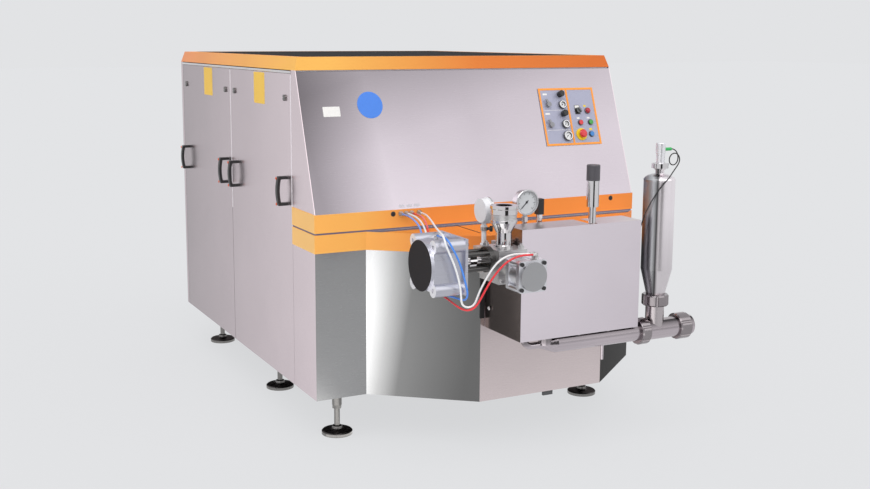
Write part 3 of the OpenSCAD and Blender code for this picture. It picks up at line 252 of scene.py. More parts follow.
FINISH = {
    # Sheets of the cabinet and of the cover
    # Side sheets: painted reflection, darker towards the rear
    "panel": sheet_steel("side_steel", stretch=GRAIN_Z, painted_light_sweeps=[
        painted_light_sweep(ALONG_Y, SIDE_START, SIDE_END, (0.0, 1.0), (0.4, 0.79), (1.0, 0.5))]),
    # Right and rear sheets: painted reflection, darker towards the bottom
    "steel": sheet_steel("plain_steel", stretch=GRAIN_Z, painted_light_sweeps=[
        painted_light_sweep(ALONG_Z, 0.2, 1.7, (0.0, 0.7), (1.0, 0.85))]),
    # Leaning panel: painted reflection, darker at the left and towards the top
    "slant": sheet_steel("slant_steel", (0.82, 0.738, 0.80), painted_light_sweeps=[
        painted_light_sweep((1, 0, 0.12), -0.63, 0.2, (0.0, 0.35), (0.4, 0.71), (1.0, 0.6)),
        painted_light_sweep((-0.3, 0, 1), 1.1, 1.75, (0.0, 1.0), (0.5, 0.84), (1.0, 0.48))]),
    # Skirt: a dark painted reflection, a little darker towards the top
    "skirt": sheet_steel("skirt_steel", (0.78, 0.78, 0.78), painted_light_sweeps=[
        painted_light_sweep(ALONG_Z, 0.2, 0.95, (0.0, 0.49), (1.0, 0.45))]),
    # Prow's left face: painted reflection, white at its left and dark towards the right
    "prow_left": sheet_steel("prow_left_steel", (0.93, 0.93, 0.93), painted_light_sweeps=[
        painted_light_sweep((1, 0, -0.12), -0.645, -0.26, (0.0, 1.0), (0.22, 0.48), (0.4, 0.2), (1.0, 0.11))]),
    # Prow's front face: painted reflection, darker towards the top
    "prow_front": sheet_steel("prow_front_steel", (0.84, 0.73, 0.73), painted_light_sweeps=[
        painted_light_sweep(ALONG_Z, 0.2, 0.9, (0.0, 0.9), (1.0, 0.5))]),
    # Prow's right face: a dark painted reflection, with its sheen at flat angles dimmed
    "prow_right": sheet_steel("prow_right_steel", (0.78, 0.77, 0.76), edge=0.27, painted_light_sweeps=[
        painted_light_sweep(ALONG_X, 0.45, 0.85, (0.0, 0.26), (1.0, 0.32))]),
    # Top faces of the housing: bright and warm, a painted reflection of the orange bands
    "shelf": sheet_steel("shelf_steel", (0.98, 0.95, 0.78), rough=0.1),
    # Cover: painted reflection, darker towards the lower right
    "cover": sheet_steel("cover_steel", (0.88, 0.80, 0.86), rough=0.22, painted_light_sweeps=[
        painted_light_sweep((0.8, 0, -0.6), -0.75, 0.2, (0.0, 1.0), (1.0, 0.78))]),
    # Cover's top faces: warm painted reflection, lighter towards the right
    "flange": sheet_steel("flange_steel", (0.78, 0.70, 0.70), rough=0.34, painted_light_sweeps=[
        painted_light_sweep(ALONG_X, -0.15, 0.3, (0.0, 0.8), (1.0, 1.0))]),
    # Cover's left cheek: a dark painted reflection, lighter towards the top
    "cheek": sheet_steel("cheek_steel", (0.80, 0.66, 0.62), rough=0.2, stretch=GRAIN_Z, painted_light_sweeps=[
        painted_light_sweep(ALONG_Z, 0.55, 1.0, (0.0, 0.26), (1.0, 0.40))]),
    # Machined, drawn and polished steel
    "machined": surface("machined_steel", (0.62, 0.61, 0.60), 0.28, metal=1.0, scale=700, stretch=GRAIN_Y,
                        vary=0.05, rough_vary=0.05, bump=0.03),
    "block": surface("block_steel", (0.66, 0.65, 0.65), 0.38, **MILLED),
    # Dark steel of the locks; on the button bezels and the plate's gauge rims it paints the dark
    # reflections of chrome
    "dark_steel": surface("dark_steel", (0.16, 0.155, 0.15), 0.28, **MILLED),
    "yoke": surface("yoke_steel", (0.10, 0.097, 0.095), 0.3, **MILLED),
    # Level run of the suction line: painted shadow of the cover along its top
    "pipe_run": surface("pipe_run_steel", (0.56, 0.50, 0.53), 0.22, stretch=GRAIN_X, **DRAWN, painted_light_sweeps=[
        painted_light_sweep(ALONG_Z, 0.475, 0.555, (0.0, 1.0), (0.5, 1.0), (0.68, 0.5), (1.0, 0.12))]),
    "nut": surface("nut_steel", (0.32, 0.29, 0.30), 0.17, stretch=GRAIN_Y, **DRAWN),
    "pipe": surface("pipe_steel", (0.52, 0.475, 0.485), 0.22, stretch=GRAIN_Y, **DRAWN),
    # Dampener: painted reflections as dark and bright stripes across it, and painted shade towards the
    # bottom
    "tank": surface("tank_steel", (0.96, 0.90, 0.93), 0.3, **POLISHED, painted_light_sweeps=[
        painted_light_sweep(ACROSS_TANK, 1.115, 1.249, (0.0, (0.08, 0.11, 0.13)), (0.31, (0.7, 0.75, 0.75)),
              (0.46, 0.05), (0.54, 1.0)),
        painted_light_sweep(ALONG_Z, 0.8, 1.05, (0.0, 0.75), (1.0, 1.0))]),
    "polish": surface("polished_steel", (0.74, 0.72, 0.73), 0.09, **POLISHED),
    "gauge": surface("gauge_steel", (0.66, 0.65, 0.66), 0.18, metal=1.0, scale=200,
                     vary=0.05, rough_vary=0.05, bump=0.01),
    "foot": surface("foot_steel", (0.27, 0.26, 0.25), 0.3, stretch=GRAIN_Z, **ZINC),
    "pad": surface("pad_steel", (0.11, 0.10, 0.10), 0.34, stretch=GRAIN_X, edge=0.3, **ZINC),
    # Aluminium of the actuators
    "alu": surface("anodised_aluminium", (0.54, 0.54, 0.60), 0.34, stretch=GRAIN_X, **ALUMINIUM),
    "alu_light": surface("cast_aluminium", (0.74, 0.74, 0.77), 0.32, **ALUMINIUM),
    "alu_bright": surface("bright_aluminium", (0.93, 0.92, 0.95), 0.4, metal=1.0, scale=500,
                          vary=0.03, rough_vary=0.06, bump=0.03),
    "alu_cap": surface("cap_aluminium", (0.42, 0.42, 0.43), 0.42, metal=1.0, scale=400,
                       vary=0.06, rough_vary=0.08, bump=0.05),
    # Paint, castings and rubber
    "orange": paint_coat("orange_paint", (0.86, 0.335, 0.06), 0.2),
    # Front of the bands: painted light, brighter and yellower at the left
    "band": paint_coat("band_paint", (1.0, 0.47, 0.11), painted_light_sweeps=[
        painted_light_sweep(ALONG_X, -0.6, -0.25, (0.0, 1.0), (1.0, (0.88, 0.56, 0.5)))]),
    # Bands' left side: a lighter copy of the band paint, painted light
    "band_side": paint_coat("band_side_paint", (1.0, 0.58, 0.20)),
    # Trim's left side: painted light, yellower at the front and redder towards the rear
    "trim_side": paint_coat("trim_side_paint", (1.0, 0.54, 0.135), painted_light_sweeps=[
        painted_light_sweep(ALONG_Y, SIDE_START, SIDE_END, (0.0, (1, 1, 0.78)), (1.0, (0.83, 0.57, 1)))]),
    # Trim's front: painted light, brighter at the left, darker and redder towards the right
    "trim_front": paint_coat("trim_front_paint", (0.87, 0.455, 0.097), 0.2, painted_light_sweeps=[
        painted_light_sweep(ALONG_X, -0.65, 0.8, (0.0, 1.0), (0.52, (0.83, 0.44, 0.37)), (1.0, (0.77, 0.34, 0.27)))]),
    "roof": surface("roof_paint", (0.018, 0.017, 0.018), 0.85, scale=420, vary=0.1, rough_vary=0.05,
                    bump=0.02, specular=0.08),
    "frame": surface("frame_paint", (0.10, 0.10, 0.105), 0.5, scale=300, vary=0.1, rough_vary=0.08,
                     bump=0.08),
    "motor": surface("motor_paint", (0.06, 0.12, 0.22), 0.42, scale=260, vary=0.08, rough_vary=0.08,
                     bump=0.12),
    "cast": surface("casting", (0.13, 0.14, 0.15), 0.55, scale=160, vary=0.15, rough_vary=0.1, bump=0.35),
    "rubber": surface("disc_rubber", (0.020, 0.017, 0.019), 0.7, scale=700, vary=0.2, rough_vary=0.1,
                      bump=0.2, specular=0.2),
    # Films and plastics
    "film": surface("plate_film", (0.375, 0.38, 0.49), 0.42, metal=0.2, bump=0.03, **FILM),
    "orange_film": surface("orange_film", (0.95, 0.33, 0.03), 0.4, bump=0.02, **FILM),
    "black": surface("black_plastic", (0.017, 0.017, 0.018), 0.42, scale=500, vary=0.15, rough_vary=0.1,
                     bump=0.12),
    "grey": surface("grey_plastic", (0.18, 0.19, 0.20), 0.36, **SATIN),
    "lever": surface("lever_metal", (0.25, 0.25, 0.27), 0.36, **SATIN),
    "cap_grey": plastic("cap_grey", (0.075, 0.07, 0.08), 0.4),
    "plug_green": plastic("connector_green", (0.03, 0.42, 0.10), 0.36),
    "red": plastic("red_plastic", (0.66, 0.02, 0.03), 0.28, coat=0.3),
    "green": plastic("green_plastic", (0.03, 0.32, 0.04), 0.28, coat=0.3),
    "blue": plastic("blue_plastic", (0.02, 0.20, 0.56), 0.28, coat=0.3),
    "lamp": plastic("lamp_lens", (0.42, 0.004, 0.02), 0.14, coat=0.3),
    "tube_blue": plastic("blue_tube", (0.06, 0.26, 0.82), 0.28, coat=0.2),
    "tube_white": plastic("white_tube", (0.86, 0.86, 0.86), 0.3, coat=0.2),
    "tube_red": plastic("red_tube", (0.80, 0.03, 0.04), 0.28, coat=0.2),
    # Case of the left gauge: a bright white film that paints the highlights of its metal
    "case": print_film("case_bright", (0.84, 0.84, 0.87), 0.35, 0.3),
    "yellow": print_film("yellow_plastic", (0.92, 0.66, 0.03), 0.4),
    "sign_blue": print_film("sign_blue", (0.08, 0.24, 0.76), 0.4),
    "red_cap": print_film("cap_red", (0.72, 0.10, 0.02), 0.4),
    "white": print_film("white_film", (0.84, 0.82, 0.80), 0.42),
    "tag": print_film("tag_grey", (0.60, 0.58, 0.63), 0.45),
    "dial": print_film("dial_white", (0.62, 0.64, 0.66)),
    "dial_plate": print_film("plate_dial_white", (0.92, 0.92, 0.93)),
    # Painted highlights along the lift-off panel's edges
    "edge": print_film("painted_edge_highlight", (0.95, 0.88, 0.92)),
    "ink": print_film("dial_ink", (0.03, 0.03, 0.035)),
    "label": print_film("label_yellow", (0.95, 0.60, 0.10), specular=0.15),
    # Painted shade of the gap between the bands
    "gap": print_film("painted_gap_shade", (0.18, 0.175, 0.28), 0.6, 0.1),
    "seam": print_film("seam_dark", (0.02, 0.018, 0.017), 0.6, 0.1),
}


def numbered(name, count):
    return [f"{name}_{k}" for k in range(1, count + 1)]


# The finish that each node starts with
NODES_WITH = {
    "frame": ["base_frame"],
    "foot": ["levelling_feet"],
    "skirt": ["front_housing"],
    "slant": ["upper_front_panel"],
    "panel": ["left_corner_panel", "front_access_panel", "rear_access_panel"],
    "steel": ["right_side_panel", "rear_panel"],
    "roof": ["roof_panel"],
    "orange": ["roof_trim"],
    "band": ["waist_bands"],
    "black": ["front_panel_handles", "rear_panel_handles", *numbered("regulator_knob", 2), "sensor_cable"],
    # The bezels' dark steel paints the dark reflections of chrome
    "dark_steel": [*numbered("panel_lock", 4), "button_bezels"],
    "film": ["control_plate"],
    "gauge": ["pressure_gauges"],
    "ink": [*numbered("panel_needle", 3), *numbered("head_needle", 2)],
    "lever": numbered("mode_lever", 2),
    "grey": ["selector_switch"],
    "red": ["stop_button", "emergency_stop"],
    "green": ["start_button"],
    "blue": ["reset_button"],
    "cast": ["crankcase", "motor_pulley", "driven_pulley"],
    "motor": ["main_motor"],
    "rubber": ["drive_belts"],
    "machined": ["pump_head", "hose_fittings"],
    "polish": [*numbered("plunger", 3), "outlet_port", "main_valve_rod", "sensors"],
    "cover": ["head_cover"],
    "block": ["valve_block"],
    "alu": ["main_actuator"],
    "alu_light": ["second_actuator"],
    "pipe": ["suction_line"],
    "nut": ["union_nuts"],
    "tank": ["dampener"],
    "tube_blue": ["blue_hose"],
    "tube_white": numbered("white_hose", 2),
    "tube_red": ["red_hose"],
}
for look, names in NODES_WITH.items():
    for name in names:
        nodes[name].data.materials.clear()
        nodes[name].data.materials.append(FINISH[look])


def paint(name, look, test):
    """Gives the faces of a node that pass the test another finish.
    The test sees a face's centre c, in drawing millimetres, and its normal n."""
    mesh = nodes[name].data
    mesh.materials.append(FINISH[look])
    index = len(mesh.materials) - 1
    for face in mesh.polygons:
        if test(Vector(face.center) * 1000 - SHIFT, face.normal):
            face.material_index = index


def above_plate(c):
    """Height over the control plate's face, in millimetres."""
    return (at(*c) - on_plate(0, 0)).dot(OUT_SLOPE) * 1000


def from_spot(c, spot):
    """Distance from a spot on the control plate, in millimetres."""
    return (at(*c) - on_plate(*spot)).length * 1000


# Faces of the cabinet, the cover, the trim and the bands, by the side they look to: each gets its own copy
# of the finish, painted lighter or darker for the light and reflections that side gets
PROW_FRONT_Y, CHEEK_X = -200, -160
paint("front_housing", "prow_left", lambda c, n: n.x < -0.3 and n.y < -0.3)
paint("front_housing", "prow_front", lambda c, n: n.y < -0.9 and c.y < PROW_FRONT_Y)
paint("front_housing", "prow_right", lambda c, n: n.x > 0.3 and n.y < -0.3)
paint("front_housing", "shelf", lambda c, n: n.z > 0.9)
paint("front_housing", "panel", lambda c, n: n.x < -0.95)
paint("head_cover", "cheek", lambda c, n: n.x < -0.9 and c.x < CHEEK_X)
paint("head_cover", "flange", lambda c, n: n.z > 0.9)
paint("roof_trim", "trim_front", lambda c, n: n.y < -0.5)
paint("roof_trim", "trim_side", lambda c, n: n.x < -0.5)
paint("waist_bands", "band_side", lambda c, n: n.x < -0.9)

# Pads of the feet, and the level run of the suction line, which carries a painted shadow along its top
PAD_TOP_Z, PIPE_RUN_TOP_Z = 45, 556
paint("levelling_feet", "pad", lambda c, n: c.z < PAD_TOP_Z and n.z > 0.2)
paint("suction_line", "pipe_run", lambda c, n: c.z < PIPE_RUN_TOP_Z)

# Large actuator: end face of the barrel, disc with its rim, yoke and ends of the tie rods
YOKE_X, BARREL_END_X, RIM_X, RIM_END_X, DISC_X = -467.5, -580, -595.5, -608, -607.5
TIE_ROD_OFFSET, TIE_END_R = 84, 9.5
paint("main_actuator", "alu_light", lambda c, n: RIM_END_X < c.x < RIM_X and abs(n.x) < 0.5)
paint("main_actuator", "alu_bright", lambda c, n: c.x < BARREL_END_X and n.x < -0.9)
paint("main_actuator", "rubber", lambda c, n: c.x < DISC_X and n.x < -0.9)
paint("main_actuator", "yoke", lambda c, n: c.x > YOKE_X)
paint("main_actuator", "alu_bright", lambda c, n: c.x < BARREL_END_X and math.hypot(
    abs(c.y - VALVE_Y) - TIE_ROD_OFFSET, abs(c.z - MAIN_ACTUATOR_Z) - TIE_ROD_OFFSET) < TIE_END_R)

# Small actuator: end cap with black corners, and its foot; the groove round the outlet port
CAP_Y, CAP_R, FOOT_Y = -796.5, 60, -699
GROOVE_R, GROOVE_LOW_Z, GROOVE_HIGH_Z = 51, 1059, 1080
paint("second_actuator", "alu_cap", lambda c, n: c.y < CAP_Y)
paint("second_actuator", "black", lambda c, n: c.y < CAP_Y and math.hypot(
    c.x - VALVE_X, c.z - SECOND_ACTUATOR_Z) > CAP_R)
paint("second_actuator", "machined", lambda c, n: c.y > FOOT_Y)
paint("outlet_port", "block", lambda c, n: GROOVE_LOW_Z < c.z < GROOVE_HIGH_Z and abs(math.hypot(
    c.x - VALVE_X, c.y - VALVE_Y) - GROOVE_R) < 1.2)

# Gauges: case of the left one, in a white film that paints its metal's highlights, rims of those on the
# plate, darkened to paint their dark reflections, and the dials
paint("pressure_gauges", "case", lambda c, n: c.x < LEFT_DIAL[0] - 1)
paint("pressure_gauges", "dark_steel", lambda c, n: c.x > PLATE_X and n.dot(OUT_SLOPE) < 0.9)
paint("pressure_gauges", "dial", lambda c, n: n.y < -0.98 and abs(c.y - FRONT_DIAL[1]) < 0.5)
paint("pressure_gauges", "dial", lambda c, n: n.x > 0.98 and abs(c.x - LEFT_DIAL[0]) < 0.5)
paint("pressure_gauges", "dial_plate",
      lambda c, n: n.dot(OUT_SLOPE) > 0.98 and abs(above_plate(c) - PLATE_DIAL_OUT) < 0.5)

# Sensors: the level sensor's head and plug, caps of the rod transmitter and of the transducer
HEAD_X, HEAD_Z, PLUG_X, PLUG_Z = 500, 1260, 565, 1290
ROD_X, ROD_CAP_Z, TRANSDUCER_X, TRANSDUCER_CAP_Z, CAP_REACH = 183, 1190.5, 13, 1040.5, 40
paint("sensors", "plug_green", lambda c, n: c.x > PLUG_X and c.z > PLUG_Z)
paint("sensors", "alu_bright", lambda c, n: HEAD_X < c.x <= PLUG_X and c.z > HEAD_Z)
paint("sensors", "cap_grey", lambda c, n: abs(c.x - ROD_X) < CAP_REACH and c.z > ROD_CAP_Z)
paint("sensors", "black", lambda c, n: abs(c.x - TRANSDUCER_X) < CAP_REACH and c.z > TRANSDUCER_CAP_Z)

# Control plate: raised border, yellow disc of the emergency stop and lens of the pilot lamp
STOP_SPOT, STOP_DISC_R = (0.655, 0.82), 33
LAMP_SPOT, LAMP_R, LENS_OUT = (0.836, 0.41), 18.5, 5.5
paint("control_plate", "orange_film", lambda c, n: above_plate(c) > 0.1)
paint("button_bezels", "yellow", lambda c, n: from_spot(c, STOP_SPOT) < STOP_DISC_R)
paint("button_bezels", "lamp", lambda c, n: from_spot(c, LAMP_SPOT) < LAMP_R and above_plate(c) > LENS_OUT)


# Hoses and the sensor's cable, on the routes of the solids
def smooth_route(points, steps=4):
    """A smooth curve that the points pull along; its first and last stretches stay straight."""
    pts = [at(*p) for p in points]
    pts = [pts[0] * 2 - pts[1]] + pts + [pts[-1] * 2 - pts[-2]]
    route = [pts[1]]
    for a, b, c, d in zip(pts, pts[1:], pts[2:], pts[3:]):
        for k in range(1, steps + 1):
            t = k / steps
            route.append(((1 - t) ** 3 * a + (3 * t ** 3 - 6 * t * t + 4) * b
                          + (3 * t + 3 * t * t - 3 * t ** 3 + 1) * c + t ** 3 * d) / 6)
    return route


def hose(name, node, look, points, radius):
    """A round cord that stands for a node's solid; the radius is in metres."""
    route = smooth_route(points)
    curve = bpy.data.curves.new(name, "CURVE")
    curve.dimensions = "3D"
    curve.bevel_depth = radius
    curve.bevel_resolution = 4
    curve.use_fill_caps = True
    spline = curve.splines.new("POLY")
    spline.points.add(len(route) - 1)
    for point, place in zip(spline.points, route):
        point.co = (*place, 1)
    curve.materials.append(FINISH[look])
    obj = add_object(name, curve)
    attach(obj, "machine")
    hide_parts(node)


HOSE_R, CABLE_R = 0.004, 0.0025
BLUE = [(-425, -28, 1012), (-425, -50, 1012), (-447, -140, 1020), (-473, -240, 1019), (-506, -350, 1013),
        (-531, -412, 1003), (-539, -433, 995), (-543, -444, 980), (-545, -447, 955), (-546, -447, 880),
        (-544, -447, 815), (-542, -452, 795), (-538, -464, 782), (-531, -485, 776), (-514, -545, 776),
        (-496, -610, 775), (-486, -645, 773), (-481, -668, 772), (-479, -686, 776), (-479, -699, 787),
        (-480, -706, 804), (-484, -706, 828), (-508, -704, 912), (-525, -703, 950), (-545, -702, 985),
        (-553, -697, 1003), (-558, -685, 1016), (-559, -667, 1022), (-555, -640, 1020),
        (-545, -608, 1014), (-537, -582, 1012), (-537, -566, 1012)]
WHITE_1 = [(-398, -28, 1012), (-398, -50, 1012), (-419, -140, 1017), (-447, -240, 1017),
           (-485, -345, 1012), (-512, -415, 1002), (-520, -436, 995), (-524, -449, 983),
           (-525, -454, 968), (-525, -454, 955)]
RED = [(-373, -28, 1012), (-373, -50, 1012), (-393, -130, 1020), (-429, -240, 1022), (-472, -350, 1014),
       (-499, -418, 992), (-508, -438, 945), (-510, -442, 830), (-506, -478, 776), (-498, -560, 762),
       (-496, -612, 752), (-494, -652, 744), (-487, -685, 737), (-473, -709, 738), (-456, -722, 751),
       (-440, -727, 774), (-420, -730, 812), (-387, -737, 868), (-345, -750, 920), (-308, -763, 942),
       (-272, -768, 949), (-250, -768, 947), (-230, -768, 947)]
WHITE_2 = [(-335, -28, 1012), (-335, -50, 1012), (-362, -130, 1019), (-411, -260, 1023),
           (-464, -390, 1027), (-518, -520, 1031), (-551, -610, 1034), (-566, -652, 1035),
           (-574, -676, 1033), (-578, -694, 1026), (-579, -706, 1011), (-574, -710, 990),
           (-543, -710, 929), (-522, -709, 869), (-511, -708, 820), (-508, -706, 784), (-505, -705, 769),
           (-496, -704, 758), (-483, -704, 751), (-468, -704, 750), (-454, -705, 756), (-445, -706, 767),
           (-440, -708, 783), (-430, -711, 812), (-408, -717, 856), (-374, -726, 912), (-340, -735, 940),
           (-300, -743, 951), (-262, -748, 949), (-248, -748, 947), (-230, -748, 947)]
CABLE = [(594, -560, 1303), (607, -560, 1303), (628, -560, 1290), (636, -561, 1264), (627, -562, 1239),
         (606, -563, 1231), (586, -565, 1240), (579, -567, 1261), (588, -569, 1281), (608, -571, 1288),
         (628, -573, 1277), (634, -575, 1253), (617, -580, 1232), (575, -604, 1212), (530, -632, 1186),
         (492, -622, 1146), (458, -606, 1086), (448, -566, 1005), (448, -535, 900), (447, -510, 790),
         (444, -484, 742), (438, -444, 742), (432, -398, 790), (429, -358, 830), (429, -336, 830)]
hose("air_hose_blue", "blue_hose", "tube_blue", BLUE, HOSE_R)
hose("air_hose_white_1", "white_hose_1", "tube_white", WHITE_1, HOSE_R)
hose("air_hose_red", "red_hose", "tube_red", RED, HOSE_R)
hose("air_hose_white_2", "white_hose_2", "tube_white", WHITE_2, HOSE_R)
hose("level_sensor_cable", "sensor_cable", "black", CABLE, CABLE_R)


# Pieces made in mesh code
def axes(origin, out, up=UP):
    """A place for a piece: its x runs across, its y up and its z outwards."""
    out = Vector(out).normalized()
    across = up.cross(out).normalized()
    return Matrix.Translation(origin) @ Matrix((across, out.cross(across), out)).transposed().to_4x4()


def loft(form, place, rings, look=0):
    """A skin over rings of points, closed at both ends."""
    rows = [[form.verts.new(place @ Vector(point)) for point in ring] for ring in rings]
    faces = [form.faces.new(rows[0][::-1]), form.faces.new(rows[-1])]
    for low, high in zip(rows, rows[1:]):
        for i, vert in enumerate(low):
            j = (i + 1) % len(low)
            faces.append(form.faces.new((vert, low[j], high[j], high[i])))
    for face in faces:
        face.material_index = look


def turned(form, place, profile, look=0, steps=24):
    """A lathe shape from (radius, height) pairs in millimetres."""
    turns = [2 * math.pi * k / steps for k in range(steps)]
    loft(form, place, [[(r * math.cos(a) / 1000, r * math.sin(a) / 1000, z / 1000) for a in turns]
                       for r, z in profile], look)


def plate(form, place, width, height, corner, thick, look=0):
    """A rounded plate with an eased upper edge, in millimetres."""
    rings = []
    ease = min(thick / 2, corner / 2)
    for shrink, z in ((0, 0), (0, thick - ease), (ease, thick)):
        ring = []
        w, h, r = width / 2 - shrink, height / 2 - shrink, corner - shrink
        for sx, sy, start in ((1, 1, 0), (-1, 1, 90), (-1, -1, 180), (1, -1, 270)):
            for k in range(4):
                a = math.radians(start + 30 * k)
                x = sx * (w - r) + r * math.cos(a)
                y = sy * (h - r) + r * math.sin(a)
                ring.append((x / 1000, y / 1000, z / 1000))
        rings.append(ring)
    loft(form, place, rings, look)


def mesh_of(name, form):
    mesh = bpy.data.meshes.new(name)
    form.to_mesh(mesh)
    form.free()
    return mesh


def piece(name, form, looks, body):
    """Makes a form into an object that rides a body; a face's look is a place in the list."""
    bmesh.ops.recalc_face_normals(form, faces=form.faces)
    mesh = mesh_of(name, form)
    for look in looks:
        mesh.materials.append(FINISH[look])
    obj = add_object(name, mesh)
    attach(obj, body)


# Bright rail under the trim on the left side, and a pale strip of painted light in the groove under its
# front
RAIL_Y, RAIL_Z, RAIL_T = 1147, 1621, 3
STRIP_AT = (0, 219, 1627)
form = bmesh.new()
plate(form, axes(at(-HALF_W, RAIL_Y, RAIL_Z), LEFT), width=1762, height=11, corner=3, thick=RAIL_T)
plate(form, axes(at(-HALF_W - RAIL_T, RAIL_Y, RAIL_Z + 2), LEFT), width=1756, height=4, corner=1.5,
      thick=1.5)
plate(form, axes(at(*STRIP_AT), FRONT), width=1636, height=5, corner=1.5, thick=1.5, look=1)
piece("trim_rail", form, ["polish", "tag"], "machine")

# Blank labels on the lift-off panels, and coloured caps on their handles
LABEL_Z, HANDLE_X, HANDLE_Z, CAP_OFFSET = 1537, -866.5, 1091, 58
HANDLE_CAP = [(6.5, 0), (6.5, 1), (5, 2.2), (2.5, 2.6)]
ACCESS_PANELS = (("front_access", 690, (358, 1070)), ("rear_access", 1526, (1234, 1956)))
for body, label_y, handles_y in ACCESS_PANELS:
    form = bmesh.new()
    plate(form, axes(at(-HALF_W, label_y, LABEL_Z), LEFT), width=150, height=146, corner=5, thick=0.8)
    piece(body + "_label", form, ["label"], body)
    form = bmesh.new()
    for y in handles_y:
        for end in (-CAP_OFFSET, CAP_OFFSET):
            turned(form, axes(at(HANDLE_X, y, HANDLE_Z + end), LEFT), HANDLE_CAP)
    piece(body + "_handle_caps", form, ["red_cap"], body)

# Blank round sign and blank tag on the leaning panel, pale tags over the bulkhead unions
SIGN_AT, TAG_AT = (-496, 475), (-682, 449)
UNION_TAGS_X, UNION_TAGS_U = (-415, -378, -342), 14
SIGN = [(61, 0), (61, 0.6), (60, 1)]
form = bmesh.new()
turned(form, axes(on_slope(*SIGN_AT), OUT_SLOPE), SIGN, look=0, steps=48)
plate(form, axes(on_slope(*TAG_AT), OUT_SLOPE), width=80, height=45, corner=3, thick=0.8, look=1)
for x in UNION_TAGS_X:
    plate(form, axes(on_slope(x, UNION_TAGS_U), OUT_SLOPE), width=26, height=12, corner=1.5, thick=0.5,
          look=2)
piece("slope_signs", form, ["sign_blue", "white", "tag"], "machine")

# Plugs in the upper band
PLUGS_X, BAND_FACE_Y = (-460, 698), -3
PLUG = [(11, 0), (11, 1.5), (8.5, 3), (4, 3.2), (3.5, 2)]
form = bmesh.new()
for x in PLUGS_X:
    turned(form, axes(at(x, BAND_FACE_Y, UPPER_BAND_Z), FRONT), PLUG)
piece("band_plugs", form, ["black"], "machine")


# Scales of the dials
def scale_marks(form, place, radius, count=28):
    """Marks over 270 degrees of a dial, every fourth one long; sizes are shares of its radius."""
    for k in range(count + 1):
        length, width = (0.24, 0.045) if k % 4 == 0 else (0.13, 0.03)
        turn = Matrix.Rotation(math.radians(135 - 270 * k / count), 4, "Z")
        reach = Matrix.Translation((0, (0.92 - length / 2) * radius / 1000, 0))
        plate(form, place @ turn @ reach, width * radius, length * radius, corner=0.01 * radius, thick=0.2)


form = bmesh.new()
scale_marks(form, axes(at(*FRONT_DIAL), FRONT), HEAD_DIAL_R)
scale_marks(form, axes(at(*LEFT_DIAL), RIGHT), HEAD_DIAL_R)
for s, t, radius in PLATE_DIALS:
    scale_marks(form, axes(on_plate(s, t, PLATE_DIAL_OUT), OUT_SLOPE), radius, count=12)
piece("dial_scales", form, ["ink"], "machine")

# Blank tags, the selector's legend plate and the dividing lines of the control plate
WHITE_TAG, YELLOW_TAG, LEGEND = 0, 1, 2
TAGS = ((0.11, 0.105, 24, 9, WHITE_TAG), (0.105, 0.445, 26, 9, WHITE_TAG), (0.645, 0.535, 15, 8, WHITE_TAG),
        (0.83, 0.535, 15, 8, WHITE_TAG), (0.80, 0.325, 13, 9, YELLOW_TAG), (0.84, 0.735, 16, 9, YELLOW_TAG))
LEGEND_AT, LEGEND_TAG_AT, LEGEND_T = (0.655, 0.385), (0.655, 0.335), 0.6
LINES_S, LINES_T, LINES_W = 0.26, (0.385, 0.73), 0.41 * PLATE_W
form = bmesh.new()
for s, t, width, height, look in TAGS:
    plate(form, axes(on_plate(s, t), OUT_SLOPE), width, height, corner=1.2, thick=0.5, look=look)
plate(form, axes(on_plate(*LEGEND_AT), OUT_SLOPE), width=30, height=46, corner=2, thick=LEGEND_T,
      look=LEGEND)
plate(form, axes(on_plate(*LEGEND_TAG_AT, LEGEND_T), OUT_SLOPE), width=25, height=13, corner=1.2, thick=0.4,
      look=WHITE_TAG)
for t in LINES_T:
    plate(form, axes(on_plate(LINES_S, t), OUT_SLOPE), width=LINES_W, height=1.6, corner=0.6, thick=0.2,
          look=WHITE_TAG)
piece("plate_tags", form, ["white", "yellow", "black"], "machine")

# Small shut-off valve on the stem of the valve's gauge
STEM_AT, KNOB_AT, KNOB_OUT = (-270, -462, 996), (-262, -466, 1005), (0.8, -0.6, 0)
STEM_BODY = [(13, 0), (15, 2), (15, 16), (13, 18)]
STEM_KNOB = [(6, 0), (6, 14), (12, 15), (12, 25), (10, 27)]
form = bmesh.new()
turned(form, axes(at(*STEM_AT), UP, FRONT), STEM_BODY, look=0)
turned(form, axes(at(*KNOB_AT), KNOB_OUT), STEM_KNOB, look=1)
piece("gauge_valve", form, ["machined", "black"], "machine")

# Painted highlights along the lift-off panel's edges beside its neighbours
EDGES_Y, EDGES_Z = (270, 1138), 1260
form = bmesh.new()
for y in EDGES_Y:
    plate(form, axes(at(-HALF_W, y, EDGES_Z), LEFT), width=7, height=700, corner=1, thick=0.6)
piece("panel_edge_highlights", form, ["edge"], "front_access")

# Painted shade in the gap between the bands, on both sides and along the front
SHADE_SIDE_Y, SHADE_SIDE_W, SHADE_FRONT_W = 133, 264, 1644
form = bmesh.new()
for x, y, out, width in ((-HALF_W, SHADE_SIDE_Y, LEFT, SHADE_SIDE_W),
                         (HALF_W, SHADE_SIDE_Y, RIGHT, SHADE_SIDE_W),
                         (0, 0, FRONT, SHADE_FRONT_W)):
    plate(form, axes(at(x, y, BAND_GAP_Z), out), width, height=6, corner=1, thick=0.6)
piece("gap_shade_strip", form, ["gap"], "machine")

# Painted shade: a black strip in the gap between the housing and the cover
GAP_SHADE_AT = (-187, -312, 701)
form = bmesh.new()
plate(form, axes(at(*GAP_SHADE_AT), FRONT), width=24, height=230, corner=3, thick=3)
piece("cover_gap_shade", form, ["black"], "machine")

